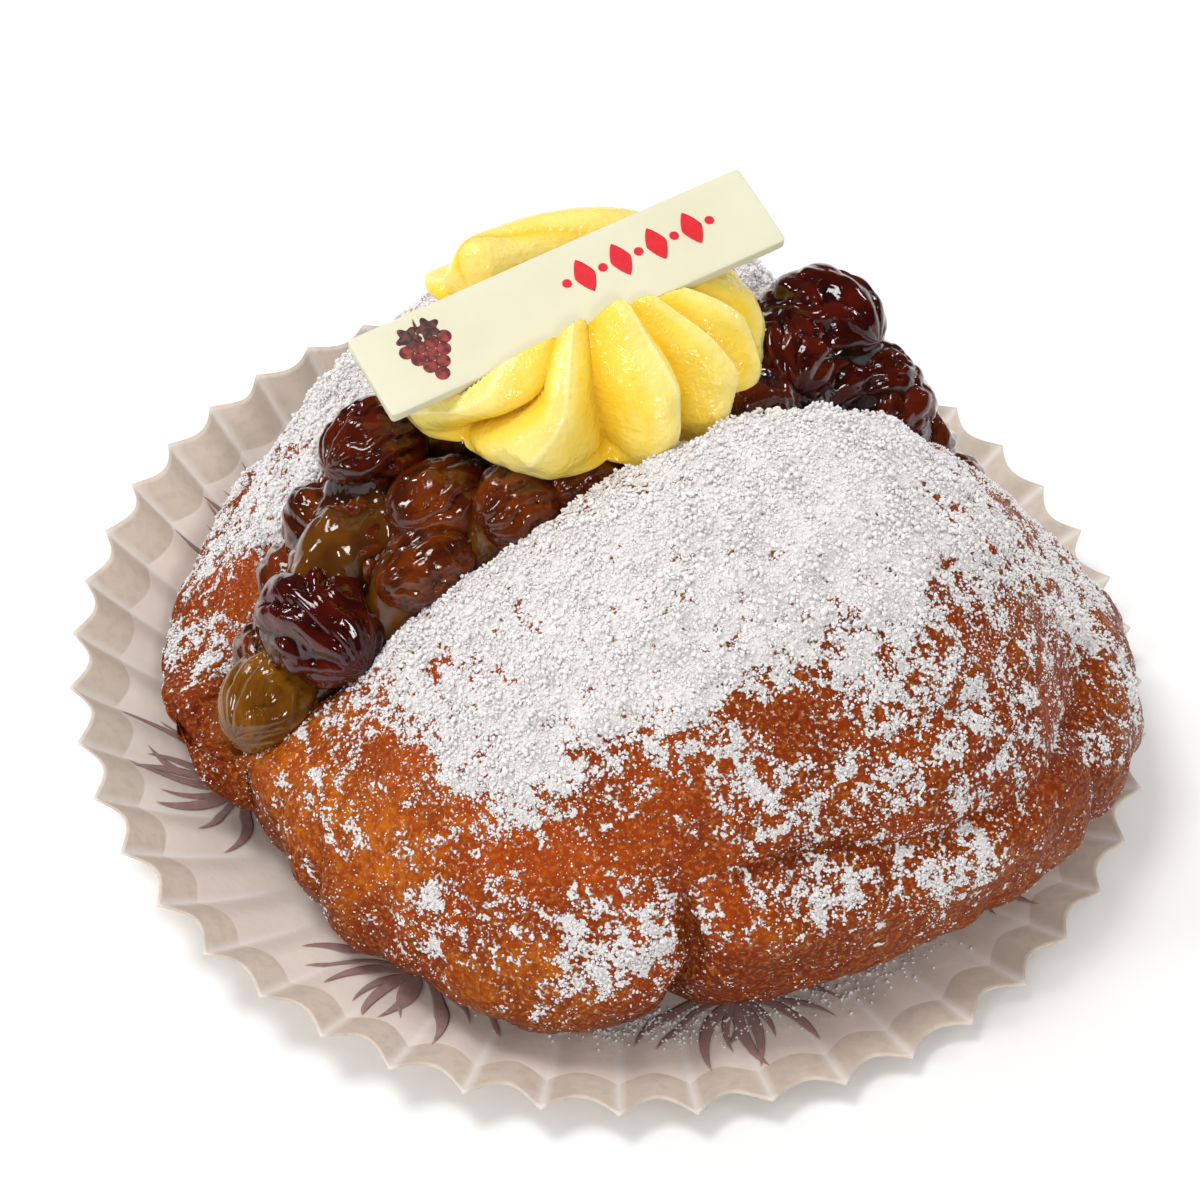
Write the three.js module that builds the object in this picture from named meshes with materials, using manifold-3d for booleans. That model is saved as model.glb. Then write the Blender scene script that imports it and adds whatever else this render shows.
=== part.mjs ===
// Rum raisin bun in its pleated paper case.
//
// A fried bun is cut open along its top. Raisins in dark rum jelly fill the cut,
// a swirl of custard cream sits on them, and a small plaque of white chocolate
// leans on the cream. Millimetres, +Z up. X runs along the cut, the front half is
// towards -Y, and the origin is the middle of the case's flat bottom.

import * as THREE from 'three';
import { ParametricGeometry } from 'three/addons/geometries/ParametricGeometry.js';
import { mergeVertices } from 'three/addons/utils/BufferGeometryUtils.js';
import Module from 'manifold-3d';

const wasm = await Module();
wasm.setup();

// ---------------------------------------------------------------- dimensions

const GAP = 0.3; // clearance between touching pieces

const CASE = {
  baseRadius: 44,
  rimRadius: 63.7,
  paper: 0.6,
  rimHeight: 9.3, // mean height of the rim above the table
  rimLean: 6.6, // how much higher or lower the rim stands on its two sides
  highSide: 112, // degrees from +X towards +Y, where the rim is highest
  pleats: 48,
  pleatDepth: 2.2, // at the rim, fading to nothing at the base
  flare: 1.4, // above 1 the wall starts flat and steepens
};

const BUN = {
  startX: -52.5, // the two ends, and their height above the table
  endX: 57.5,
  endZ: 13,
  peakX: 14, // where the crest is highest
  height: 52.5,
  backShare: [0.93, 0.72], // height of the back half as a share of the front's, on the left and at the right end
  backFalls: [22, 48], // where the share changes
  sliver: 13, // least width of a half near the ends
  endLean: 9, // how far the right end leans towards the front
  leanFrom: 36, // where along the bun it begins to lean
};

// Plan of each half: a superellipse about the cut, with its own length.
const HALVES = {
  front: { side: -1, middleX: 4.5, halfLength: 52, reach: 53.5, plumpness: 2.5 },
  back: { side: 1, middleX: -1, halfLength: 52, reach: 45.5, plumpness: 2.5 },
};

// Folds of the dough: a waist crease with a roll below it, on the front from the
// upright crease towards +X and on the back all along, and a lobe at the front left.
const FOLDS = {
  frontWaistZ: 27.5,
  backWaistZ: 23,
  waistWidth: 3.2,
  waistDepth: 1.7,
  creaseX: -14,
  creaseWidth: 2.6,
  creaseDepth: 3.4,
  rollSwell: 1.3,
  lobeX: -27,
  lobeWidth: 8,
  lobeSwell: 1.2,
};

const CUT = {
  line: 0.2,
  bow: 4.3, // how far the cut's middle bows towards +Y
  middleX: -3,
  halfLength: 52,
  frontGape: 11.5, // from the cut's line to the front lip
  backGape: 14, // and to the back lip
  floorShare: 0.25, // height of the cut's bottom as a share of the dough there
};

// The filling lies a little below the crust, with a heap of raisins near its left end.
const FILLING = { startX: -47, endX: 44, sink: 1 };
const HEAP = { x: -25, y: 11, height: 5, length: 9, width: 8 };

const CREAM = {
  x: 0.6,
  y: 10.6,
  baseZ: 46.5,
  radius: 21,
  height: 13.5,
  ridges: 8,
  ridgeDepth: 0.2,
  twist: 50, // degrees each ridge turns from the base to the top
  peakLean: 8, // how far the tip is drawn towards +Y
};

const PLAQUE = {
  length: 50,
  width: 11,
  thickness: 1.6,
  centre: [-1.5, 9.2, 59.4],
  yaw: 5.3,
  pitch: 7.1,
  roll: 18,
};

// Raisins: place along and across the cut and above the table, length, and the turn
// of the long axis in degrees.
const RAISINS = [
  [-25.2, 11.5, 43, 13.5, 20],
  [-19.9, 2.4, 40, 14, 25],
  [-36, -0.5, 29.5, 16, -75],
  [-42.3, -0.8, 20.8, 15.5, 30],
  [-29.8, 5, 35, 14, 5],
  [-24, -3, 36, 13, 10],
  [-12.3, -2.8, 41.5, 13, 15],
  [-4.2, -3.6, 43, 12.5, 20],
  [-31.8, 10.8, 33, 12.5, 70],
  [30.5, 9.5, 44.8, 16, -56],
  [24, 5, 46, 12.5, 75],
  [36.2, 0.8, 36.4, 12, 50],
  [34.4, 3.6, 39.2, 12, -20],
  [16, -2.5, 45.5, 12, 5],
  [29.8, 3.7, 41, 11, 10],
];

// ------------------------------------------------------------ small helpers

const degrees = THREE.MathUtils.degToRad;
const mix = THREE.MathUtils.lerp;
const clamp = THREE.MathUtils.clamp;
const smoothstep = THREE.MathUtils.smoothstep;
const hill = (value, middle, width) => Math.exp(-(((value - middle) / width) ** 2));

function power(base, exponent) {
  return Math.max(base, 0) ** exponent;
}

// Point on a closed uniform cubic B-spline through the plane; u runs once round.
function splinePoint(controls, u) {
  const count = controls.length;
  const place = (((u % 1) + 1) % 1) * count;
  const first = Math.floor(place);
  const t = place - first;
  const weights = [
    (1 - t) ** 3 / 6,
    (3 * t ** 3 - 6 * t ** 2 + 4) / 6,
    (-3 * t ** 3 + 3 * t ** 2 + 3 * t + 1) / 6,
    t ** 3 / 6,
  ];
  const sum = [0, 0];
  weights.forEach((weight, i) => {
    const control = controls[(first + i) % count];
    sum[0] += weight * control[0];
    sum[1] += weight * control[1];
  });
  return sum;
}

// ------------------------------------------------------ solids and booleans

function solidOf(geometry) {
  const bare = geometry.clone();
  bare.deleteAttribute('normal');
  bare.deleteAttribute('uv');
  const merged = mergeVertices(bare, 1e-3);
  const corners = merged.index.array;
  const kept = [];
  for (let i = 0; i < corners.length; i += 3) {
    const [a, b, c] = corners.subarray(i, i + 3);
    if (a !== b && b !== c && c !== a) kept.push(a, b, c);
  }
  return new wasm.Manifold(
    new wasm.Mesh({
      numProp: 3,
      vertProperties: merged.attributes.position.array,
      triVerts: new Uint32Array(kept),
    }),
  );
}

function geometryOf(solid) {
  const mesh = solid.getMesh();
  const geometry = new THREE.BufferGeometry();
  geometry.setAttribute('position', new THREE.BufferAttribute(mesh.vertProperties, 3));
  geometry.setIndex(new THREE.BufferAttribute(mesh.triVerts, 1));
  geometry.computeVertexNormals();
  return geometry;
}

function largestBody(solid) {
  return solid.decompose().reduce((a, b) => (a.volume() > b.volume() ? a : b));
}

function cutBy(solid, cutters) {
  return largestBody(cutters.reduce((rest, cutter) => rest.subtract(cutter), solid));
}

// A surface that closes on itself: place(u, v, target) sets a point, u runs once
// round and v from one pole to the other. Both ends of a round get the very same
// point, and so do all points at a pole.
function closedSurface(place, around, along) {
  const point = (u, v, target) => place(v === 0 || v === 1 ? 0 : u % 1, v, target);
  return new ParametricGeometry(point, around, along);
}

// The same kind of surface moved outwards along its normals, by a distance that may
// change with the place.
function grown(place, distance) {
  const step = 1e-3;
  const [ahead, behind, acrossU, acrossV] = Array.from({ length: 4 }, () => new THREE.Vector3());
  return (u, v, target) => {
    const vSafe = clamp(v, step, 1 - step);
    acrossU.subVectors(place(u + step, vSafe, ahead), place(u - step, vSafe, behind));
    acrossV.subVectors(place(u, vSafe + step / 2, ahead), place(u, vSafe - step / 2, behind));
    const atPole = v === 0 || v === 1;
    place(u, v, target);
    return target.addScaledVector(acrossU.cross(acrossV).normalize(), atPole ? 0 : distance(target));
  };
}

// --------------------------------------------------------------- paper case

// A cup with a flat bottom and a shallow wall. Each pleat is a sharp crease that
// points outwards, with a rounded valley between it and the next one.
function paperCase() {
  const { baseRadius, rimRadius, paper, pleats, pleatDepth } = CASE;
  const wall = [0, 0.4, 0.7, 1];
  const profile = [
    [0, 0],
    ...wall.map((share) => [share, 0]),
    ...wall.toReversed().map((share) => [share, paper]),
    [0, paper],
  ];
  const place = (u, v, target) => {
    const row = Math.round(v * (profile.length - 1));
    const [share, lift] = profile[row];
    const onAxis = row === 0 || row === profile.length - 1;
    const angle = 2 * Math.PI * u;
    const crease = 1 - Math.abs(Math.sin(Math.PI * pleats * u));
    const pleat = pleatDepth * share * (crease - 0.5);
    const radius = onAxis ? 0 : mix(baseRadius, rimRadius, share) + pleat;
    const lean = CASE.rimLean * Math.cos(angle - degrees(CASE.highSide));
    const height = (CASE.rimHeight + lean - paper) * share ** CASE.flare;
    return target.set(radius * Math.cos(angle), radius * Math.sin(angle), height + lift);
  };
  return solidOf(closedSurface(place, pleats * 2, profile.length - 1));
}

// ---------------------------------------------------------------------- bun

// Height of the crest above the table, highest at peakX and falling to both ends.
function crestHeight(x) {
  const toLeft = x < BUN.peakX;
  const reach = toLeft ? BUN.peakX - BUN.startX : BUN.endX - BUN.peakX;
  const away = Math.abs(x - BUN.peakX) / reach;
  const share = toLeft ? power(1 - away ** 2.1, 1.3) : power(1 - away ** 1.95, 1.25);
  return mix(BUN.endZ, BUN.height, share);
}

// The crest's height as a share of the dough's, on the back half.
function backShare(x) {
  return mix(...BUN.backShare, smoothstep(x, ...BUN.backFalls));
}

// Share of the full width left at a place between -1 and 1 along a half.
function roundness(along, exponent) {
  return power(1 - Math.abs(along) ** exponent, 1 / exponent);
}

function edgeOf(half, x, overall) {
  const own = half.reach * roundness((x - half.middleX) / half.halfLength, half.plumpness);
  return half.side * Math.max(own, BUN.sliver * overall);
}

// The outline in plan and the underside, from the place along the bun.
function bunPlan(x) {
  const middleX = (BUN.startX + BUN.endX) / 2;
  const along = clamp((2 * (x - middleX)) / (BUN.endX - BUN.startX), -1, 1);
  const overall = roundness(along, 2);
  const front = edgeOf(HALVES.front, x, overall);
  const back = edgeOf(HALVES.back, x, overall);
  const rise = 1 - power(1 - along ** 4, 0.5);
  const floor = mix(CASE.paper + GAP, BUN.endZ, rise);
  return { front, back, middle: (front + back) / 2, floor, overall };
}

// The cut: its line, its two lips and how open it is, from 0 to 1.
function cutAt(x) {
  const open = power(1 - (Math.abs(x - CUT.middleX) / CUT.halfLength) ** 2.2, 1);
  const line = CUT.line + CUT.bow * open;
  return {
    line,
    open,
    front: line - CUT.frontGape * open ** 0.6,
    back: line + CUT.backGape * open ** 0.6,
  };
}

// Control points of one half of the section, from the underside to the cut's
// floor: how far out from the middle, or from the edge to the lip, and how high.
const UNDERSIDE = [[0.45, 0], [0.74, 0], [0.96, 0.08], [1.07, 0.27], [1.05, 0.5]];
const DOME = [[0.12, 0.76], [0.34, 0.95], [0.6, 1.03], [0.86, 1.02], [1.01, 0.9]];

function halfSection(plan, edge, lip, crest, line, floorZ, side) {
  const low = UNDERSIDE.map(([out, up]) => [mix(plan.middle, edge, out), mix(plan.floor, crest, up)]);
  const high = DOME.map(([inward, up]) => [mix(edge, lip, inward), mix(plan.floor, crest, up)]);
  const wall = [mix(lip, line, 0.45), mix(floorZ, crest, 0.45)];
  const floor = [line + side * 1.5 * plan.overall, floorZ];
  return [...low, ...high, wall, floor];
}

function bunSection(x) {
  const plan = bunPlan(x);
  const cut = cutAt(x);
  const crest = crestHeight(x);
  const floorZ = mix(plan.floor, crest, CUT.floorShare);
  const backCrest = mix(plan.floor, crest, backShare(x));
  const pull = (y) => mix(plan.middle, y, Math.min(1, plan.overall * 3));
  const line = pull(cut.line);
  const front = halfSection(plan, plan.front, pull(cut.front), crest, line, floorZ, -1);
  const back = halfSection(plan, plan.back, pull(cut.back), backCrest, line, floorZ, 1);
  return [[plan.middle, plan.floor], ...back, ...front.toReversed()];
}

function bunPoint(u, v, target) {
  const x = mix(BUN.startX, BUN.endX, (1 - Math.cos(Math.PI * v)) / 2);
  const [y, z] = splinePoint(bunSection(x), u);
  const lean = BUN.endLean * smoothstep(x, BUN.leanFrom, BUN.endX) * smoothstep(y, -42, -12);
  return target.set(x, y - lean, z);
}

// How far the folds move the crust outwards at a point.
function foldSwell({ x, y, z }) {
  const below = (value, from, to) => 1 - smoothstep(value, from, to);
  const front = smoothstep(-y, 14, 30);
  const back = smoothstep(y, 22, 34);
  const right = smoothstep(x, FOLDS.creaseX - 1, FOLDS.creaseX + 8);
  const waist =
    front * right * hill(z, FOLDS.frontWaistZ, FOLDS.waistWidth) + back * hill(z, FOLDS.backWaistZ, FOLDS.waistWidth);
  const crease = front * hill(x, FOLDS.creaseX, FOLDS.creaseWidth) * below(z, 20, 34);
  const roll = front * right * below(z, 20, 28);
  const lobe = front * hill(x, FOLDS.lobeX, FOLDS.lobeWidth) * below(z, 12, 26);
  const swell = FOLDS.rollSwell * roll + FOLDS.lobeSwell * lobe;
  const dent = FOLDS.waistDepth * waist + FOLDS.creaseDepth * crease;
  return (swell - dent) * smoothstep(z, 1, 8);
}

function bun(grow = 0) {
  return solidOf(closedSurface(grown(bunPoint, (point) => foldSwell(point) + grow), 52, 38));
}

// ------------------------------------------------------------------ filling

// Height of the jelly: it follows the front crest, sinks to the back one and swells at the heap.
function fillingTop(x, y) {
  const cut = cutAt(x);
  const share = mix(1, backShare(x), smoothstep(y, cut.line, cut.back + 1));
  const heap = HEAP.height * hill(x, HEAP.x, HEAP.length) * hill(y, HEAP.y, HEAP.width);
  return crestHeight(x) * share + heap - FILLING.sink;
}

// Jelly: a long loaf of superellipse sections that reaches past the cut's walls.
function fillingPoint(u, v, target) {
  const reach = (FILLING.endX - FILLING.startX) / 2;
  const along = -Math.cos(Math.PI * v);
  const x = FILLING.startX + reach * (1 + along);
  const cut = cutAt(x);
  const round = power(1 - along ** 4, 0.25);
  const bottom = mix(bunPlan(x).floor, crestHeight(x), CUT.floorShare) - 1;
  const angle = 2 * Math.PI * u;
  const half = (cut.back - cut.front) / 2 + 4;
  const y = (cut.back + cut.front) / 2 + half * round * Math.cos(angle);
  const top = fillingTop(x, y);
  const middle = (top + bottom) / 2;
  const share = Math.sign(Math.sin(angle)) * Math.abs(Math.sin(angle)) ** 0.8;
  return target.set(x, y, middle + ((top - bottom) / 2) * round * share);
}

function filling(place = fillingPoint) {
  return solidOf(closedSurface(place, 16, 14));
}

// A raisin: an egg with shallow lengthwise wrinkles.
function raisin([x, y, z, length, turn], grow = 0) {
  const half = length / 2 + grow;
  const width = length * 0.4 + grow;
  const geometry = new THREE.SphereGeometry(1, 10, 7);
  const points = geometry.attributes.position;
  const corner = new THREE.Vector3();
  for (let i = 0; i < points.count; i += 1) {
    corner.fromBufferAttribute(points, i);
    const wrinkle = 1 - 0.06 * Math.cos(4 * Math.atan2(corner.z, corner.y)) * power(1 - corner.x ** 2, 0.5);
    points.setXYZ(i, corner.x * half, corner.y * width * wrinkle, corner.z * width * wrinkle);
  }
  geometry.rotateZ(degrees(turn));
  geometry.translate(x, y, z);
  return solidOf(geometry);
}

// -------------------------------------------------------------------- cream

// Custard cream piped through a star tip: ridges that twist as they rise to a
// tip drawn to one side. The rows go from the underside's middle out and up.
const CREAM_ROWS = [
  [0, 0], [0.55, 0], [0.9, 0.03], [1, 0.16], [0.97, 0.34],
  [0.86, 0.55], [0.68, 0.74], [0.46, 0.89], [0.24, 1.0], [0, 1.12],
];

function creamPoint(u, v, target, depth = CREAM.ridgeDepth, grow = 0) {
  const place = v * (CREAM_ROWS.length - 1);
  const row = Math.min(Math.floor(place), CREAM_ROWS.length - 2);
  const out = mix(CREAM_ROWS[row][0], CREAM_ROWS[row + 1][0], place - row);
  const up = mix(CREAM_ROWS[row][1], CREAM_ROWS[row + 1][1], place - row);
  const angle = 2 * Math.PI * u;
  const phase = (CREAM.ridges * (angle + degrees(CREAM.twist) * up)) / 2;
  const ridge = 1 - 2 * depth * (1 - Math.abs(Math.cos(phase)));
  const radius = (CREAM.radius + grow) * out * mix(1, ridge, clamp(up * 8, 0, 1));
  const lean = CREAM.peakLean * up ** 2;
  return target.set(
    CREAM.x + radius * Math.cos(angle),
    CREAM.y + radius * Math.sin(angle) + lean,
    CREAM.baseZ - grow + (CREAM.height + 2 * grow) * up,
  );
}

function cream() {
  return solidOf(closedSurface(creamPoint, CREAM.ridges * 6, CREAM_ROWS.length - 1));
}

// The room the cream takes up, without its grooves.
function creamRoom() {
  const place = (u, v, target) => creamPoint(u, v, target, 0, GAP);
  return solidOf(closedSurface(place, 32, CREAM_ROWS.length - 1));
}

// ------------------------------------------------------------------- plaque

// The plaque, or the room it takes up with the air above it.
function plaque(grow = 0, above = 0) {
  const { length, width, thickness } = PLAQUE;
  const size = [length + 2 * grow, width + 2 * grow, thickness + 2 * grow + above];
  const geometry = new THREE.BoxGeometry(...size);
  geometry.translate(0, 0, above / 2);
  geometry.rotateX(degrees(PLAQUE.roll));
  geometry.rotateY(-degrees(PLAQUE.pitch));
  geometry.rotateZ(degrees(PLAQUE.yaw));
  geometry.translate(...PLAQUE.centre);
  return solidOf(geometry);
}

// ----------------------------------------------------------------- assembly

const finishes = {
  paper: { color: 0xcdbcb0, roughness: 0.8 },
  crust: { color: 0xa8561c, roughness: 0.55 },
  jelly: { color: 0x3a1c0c, roughness: 0.15 },
  raisin: { color: 0x4a2412, roughness: 0.25 },
  cream: { color: 0xf2d95c, roughness: 0.4 },
  chocolate: { color: 0xf4f1dc, roughness: 0.35 },
};

function piece(name, solid, finish) {
  const material = new THREE.MeshStandardMaterial({ metalness: 0, ...finishes[finish] });
  const mesh = new THREE.Mesh(geometryOf(solid), material);
  mesh.name = name;
  return mesh;
}

function raisins(cutters) {
  const earlier = [];
  return RAISINS.map((row, i) => {
    const solid = cutBy(raisin(row), [...cutters, ...earlier]);
    earlier.push(raisin(row, GAP));
    return piece(`raisin_${String(i + 1).padStart(2, '0')}`, solid, 'raisin');
  });
}

const openBun = bun(GAP);
const room = [openBun, creamRoom(), filling(grown(fillingPoint, () => GAP)), plaque(GAP)];
const group = new THREE.Group();
group.add(piece('paper_case', paperCase(), 'paper'));
group.add(piece('bun', bun(), 'crust'));
group.add(piece('raisin_filling', cutBy(filling(), [openBun, creamRoom()]), 'jelly'));
group.add(...raisins(room));
group.add(piece('custard_cream', cutBy(cream(), [openBun, plaque(GAP, 12)]), 'cream'));
group.add(piece('chocolate_plaque', plaque(), 'chocolate'));

export default group;
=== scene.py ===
# %% [markdown]
# # A rum raisin bun in its paper case
#
# A bun of fried dough is cut open along its top and filled with raisins in dark
# rum jelly. A swirl of custard cream sits on the raisins, a plaque of white
# chocolate leans on the cream, and icing sugar covers the dough. Sizes below are
# in millimetres, as a baker would give them, until they go into a mesh.
# %% Load the frame
import math

import bpy
import numpy as np
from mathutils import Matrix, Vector


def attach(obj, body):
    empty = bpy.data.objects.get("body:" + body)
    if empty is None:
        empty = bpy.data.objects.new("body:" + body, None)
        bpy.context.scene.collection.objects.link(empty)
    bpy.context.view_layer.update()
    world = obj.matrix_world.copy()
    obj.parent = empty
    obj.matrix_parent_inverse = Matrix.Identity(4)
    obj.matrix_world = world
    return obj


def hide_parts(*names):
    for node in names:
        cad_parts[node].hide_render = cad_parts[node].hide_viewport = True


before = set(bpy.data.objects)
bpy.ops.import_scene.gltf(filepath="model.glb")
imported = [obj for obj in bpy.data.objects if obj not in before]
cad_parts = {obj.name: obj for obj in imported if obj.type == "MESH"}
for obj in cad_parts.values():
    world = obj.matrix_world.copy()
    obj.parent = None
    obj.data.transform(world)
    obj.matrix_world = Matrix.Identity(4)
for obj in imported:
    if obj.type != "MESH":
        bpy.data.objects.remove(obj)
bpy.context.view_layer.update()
MM = 0.001
print("nodes in the frame:", len(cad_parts))

# %% [markdown]
# ## Numbers that turn up everywhere
#
# Each shape below is a whole array of points worked out at once. A soft switch,
# a bell and a bumpy field are all it takes to go from a smooth shape to a baked
# one, and a turn lays it in its place. Blender's own noise lives in shaders and
# textures. A field in numpy can move points, choose where sugar falls and colour
# a skin, all from the same numbers, so a bump and its colour never drift apart.
# %% Mixes, switches, bells, turns and lumps
def mix(a, b, t):
    """a where t is 0, b where t is 1, straight in between."""
    return a + (b - a) * t


def smooth(value, low, high):
    """0 below low, 1 above high, and 3t^2 - 2t^3 in between."""
    t = np.clip((value - low) / (high - low), 0.0, 1.0)
    return t * t * (3.0 - 2.0 * t)


def power(base, exponent):
    """base to the exponent, with anything below zero taken as zero."""
    return np.maximum(base, 0.0) ** exponent


def hill(value, middle, width):
    """A bell of height 1: e to minus the square of the distance in widths."""
    return np.exp(-(((value - middle) / width) ** 2))


def turn_about(axis, angle):
    """The matrix that turns points about x, y or z, with cos and sin of the angle in the other two."""
    i, j = {"x": (1, 2), "y": (2, 0), "z": (0, 1)}[axis]
    matrix = np.eye(3)
    matrix[i, i] = matrix[j, j] = math.cos(angle)
    matrix[i, j], matrix[j, i] = -math.sin(angle), math.sin(angle)
    return matrix


LATTICE = 32


def lumps(points, size, seed):
    """Heights from -1 to 1 at random on a cubic lattice, size apart, blended with 3t^2 - 2t^3."""
    table = np.random.default_rng(seed).uniform(-1.0, 1.0, (LATTICE,) * 3)
    place = np.asarray(points) / size
    cell = np.floor(place).astype(int)
    part = place - cell
    part = part * part * (3.0 - 2.0 * part)
    total = np.zeros(place.shape[:-1])
    for corner in np.ndindex(2, 2, 2):
        weight = np.prod(np.where(np.array(corner) == 1, part, 1.0 - part), axis=-1)
        i, j, k = np.moveaxis((cell + corner) % LATTICE, -1, 0)
        total = total + weight * table[i, j, k]
    return total


def creased(points, size, seed):
    """The size of the lumps' height: round swellings between sharp valleys, where it is 0."""
    return np.abs(lumps(points, size, seed))


print("a field of lumps is made of", LATTICE**3, "random numbers")

# %% [markdown]
# ## From an array to a mesh
#
# Nearly every piece is a skin: a grid whose rows go from one pole to the other
# and whose columns run once round. A mesh could be made face by face with bmesh,
# but foreach_set hands numpy's memory to Blender at once, which matters at a
# hundred thousand faces. The first and last row are one point each, so the skin
# has no seam and no hole. Each skin also gets its own map of columns and rows,
# which a bake can use instead of guessing one.
# %% Closed grids
BAKE_MAP = "OFBake"


def unit_grid(rows, columns):
    """v down the rows from 0 to 1, and u once round the columns, from 0 to just under 1."""
    return np.linspace(0, 1, rows)[:, None], (np.arange(columns) / columns)[None, :]


def grid_faces(rows, columns):
    """Corners of a closed grid's quads, then of the triangles at its first row and at its last.

    The first and the last row are a single point each.
    """
    ring = np.arange(columns)
    after = np.roll(ring, -1)
    inner = 1 + np.arange((rows - 2) * columns).reshape(rows - 2, columns)
    quads = np.stack([inner[:-1], inner[:-1][:, after], inner[1:][:, after], inner[1:]], axis=-1)
    last = 1 + (rows - 2) * columns
    start = np.stack([np.zeros(columns, int), inner[0][after], inner[0]], axis=-1)
    end = np.stack([inner[-1], inner[-1][after], np.full(columns, last)], axis=-1)
    return quads.reshape(-1, 4), start, end


def grid_map(rows, columns, cell=(0.0, 0.0, 1.0, 1.0)):
    """Each corner's place on the map: columns across and rows up, both inside the cell.

    A cell is its low x, its low y, its width and its height.
    """
    row, column = np.meshgrid(np.arange(1, rows - 2), np.arange(columns), indexing="ij")
    round_quad = [[column, row], [column + 1, row], [column + 1, row + 1], [column, row + 1]]
    quads = np.moveaxis(np.stack(round_quad), (0, 1), (2, 3)).reshape(-1, 2)
    c = np.arange(columns)
    one, end = np.ones(columns), np.full(columns, rows - 1.0)
    start_cap = np.stack([[c + 0.5, 0 * one], [c + 1, one], [c, one]], axis=0)
    end_cap = np.stack([[c, end - 1], [c + 1, end - 1], [c + 0.5, end]], axis=0)
    caps = [np.moveaxis(cap, 2, 0).reshape(-1, 2) for cap in (start_cap, end_cap)]
    place = np.concatenate([quads, *caps]) / [columns, rows - 1]
    return place * cell[2:] + cell[:2]


def flat_rows(array):
    """A grid's values in a row, with its first and last row as one value each."""
    return np.concatenate([array[:1, 0], array[1:-1].reshape(-1, *array.shape[2:]), array[-1:, 0]])


def outward(grid):
    """Unit normals of a closed grid: the step round crossed with the step to the next row."""
    around = np.roll(grid, -1, axis=1) - np.roll(grid, 1, axis=1)
    normal = np.cross(around, np.gradient(grid, axis=0))
    normal[0], normal[-1] = normal[1].mean(axis=0), normal[-2].mean(axis=0)
    return normal / (np.linalg.norm(normal, axis=-1, keepdims=True) + 1e-12)


print("a closed grid of 4 rows and 5 columns has", len(grid_faces(4, 5)[0]), "quads and 10 triangles")


# %% Pieces and skins
def new_piece(name, points, faces, places=None, values=None, rounded=True):
    """A piece from points in millimetres and arrays of faces.

    places are the corners' places on its map, and values are numbers or vectors at its points.
    """
    mesh = bpy.data.meshes.new(name)
    mesh.vertices.add(len(points))
    mesh.vertices.foreach_set("co", (np.asarray(points) * MM).astype(np.float32).ravel())
    loops = np.concatenate([group.ravel() for group in faces]).astype(np.int32)
    sides = np.concatenate([np.full(len(group), group.shape[1]) for group in faces])
    mesh.loops.add(len(loops))
    mesh.loops.foreach_set("vertex_index", loops)
    mesh.polygons.add(len(sides))
    mesh.polygons.foreach_set("loop_start", (np.cumsum(sides) - sides).astype(np.int32))
    mesh.polygons.foreach_set("use_smooth", np.full(len(sides), rounded))
    mesh.update(calc_edges=True)
    if places is not None:
        layer = mesh.uv_layers.new(name=BAKE_MAP)
        layer.uv.foreach_set("vector", places.astype(np.float32).ravel())
    for key, value in (values or {}).items():
        value = np.asarray(value, dtype=np.float32)
        kind, field = ("FLOAT_VECTOR", "vector") if value.ndim > 1 else ("FLOAT", "value")
        layer = mesh.attributes.new(key, kind, "POINT")
        layer.data.foreach_set(field, value.ravel())
    piece = bpy.data.objects.new(name, mesh)
    bpy.context.scene.collection.objects.link(piece)
    return piece


def skin(name, grids, values=None):
    """One piece of one or more closed grids, which share the map in equal squares."""
    grids = grids if isinstance(grids, list) else [grids]
    values = values if isinstance(values, list) else [values or {}] * len(grids)
    side = math.ceil(math.sqrt(len(grids)))
    points, faces, places = [], [], []
    first = 0
    for k, grid in enumerate(grids):
        rows, columns = grid.shape[:2]
        points.append(flat_rows(grid))
        faces.extend(group + first for group in grid_faces(rows, columns))
        cell = (k % side / side, k // side / side, 1 / side, 1 / side)
        places.append(grid_map(rows, columns, cell))
        first += len(points[-1])
    joined = {key: np.concatenate([flat_rows(v[key]) for v in values]) for key in values[0]}
    return new_piece(name, np.concatenate(points), faces, np.concatenate(places), joined)


def report(piece):
    """Prints how many triangles a piece has, and its volume, which is negative if they face in."""
    mesh = piece.data
    mesh.calc_loop_triangles()
    corner = np.empty(3 * len(mesh.loop_triangles), np.int32)
    mesh.loop_triangles.foreach_get("vertices", corner)
    place = np.empty(3 * len(mesh.vertices), np.float32)
    mesh.vertices.foreach_get("co", place)
    a, b, c = np.moveaxis(place.reshape(-1, 3)[corner.reshape(-1, 3)].astype(float), 1, 0)
    volume = np.einsum("ij,ij->i", a, np.cross(b, c)).sum() / 6 * 1e6
    print(f"{piece.name}: {len(corner) // 3} triangles, {volume:.2f} cm3")


print("each piece's map is called", BAKE_MAP)

# %% [markdown]
# ## Materials
#
# Each finish is a Principled shader fed by a few nodes. Typing out each link
# hides the idea, so a small class makes nodes from plain calls. What several
# finishes share is a node group: mottle gives a mask and a height of cloudy
# spots at a size in millimetres, shine breaks up roughness the way a wet or
# greasy film does, and wet film adds that film's ripples. They read Object
# coordinates, so a pattern keeps its size on every piece.
# %% A small node writer
# The Mix node has sockets for each kind of value, and these are the ones for colours.
COLOUR_A, COLOUR_B, COLOUR_RESULT = 6, 7, 2


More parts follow.
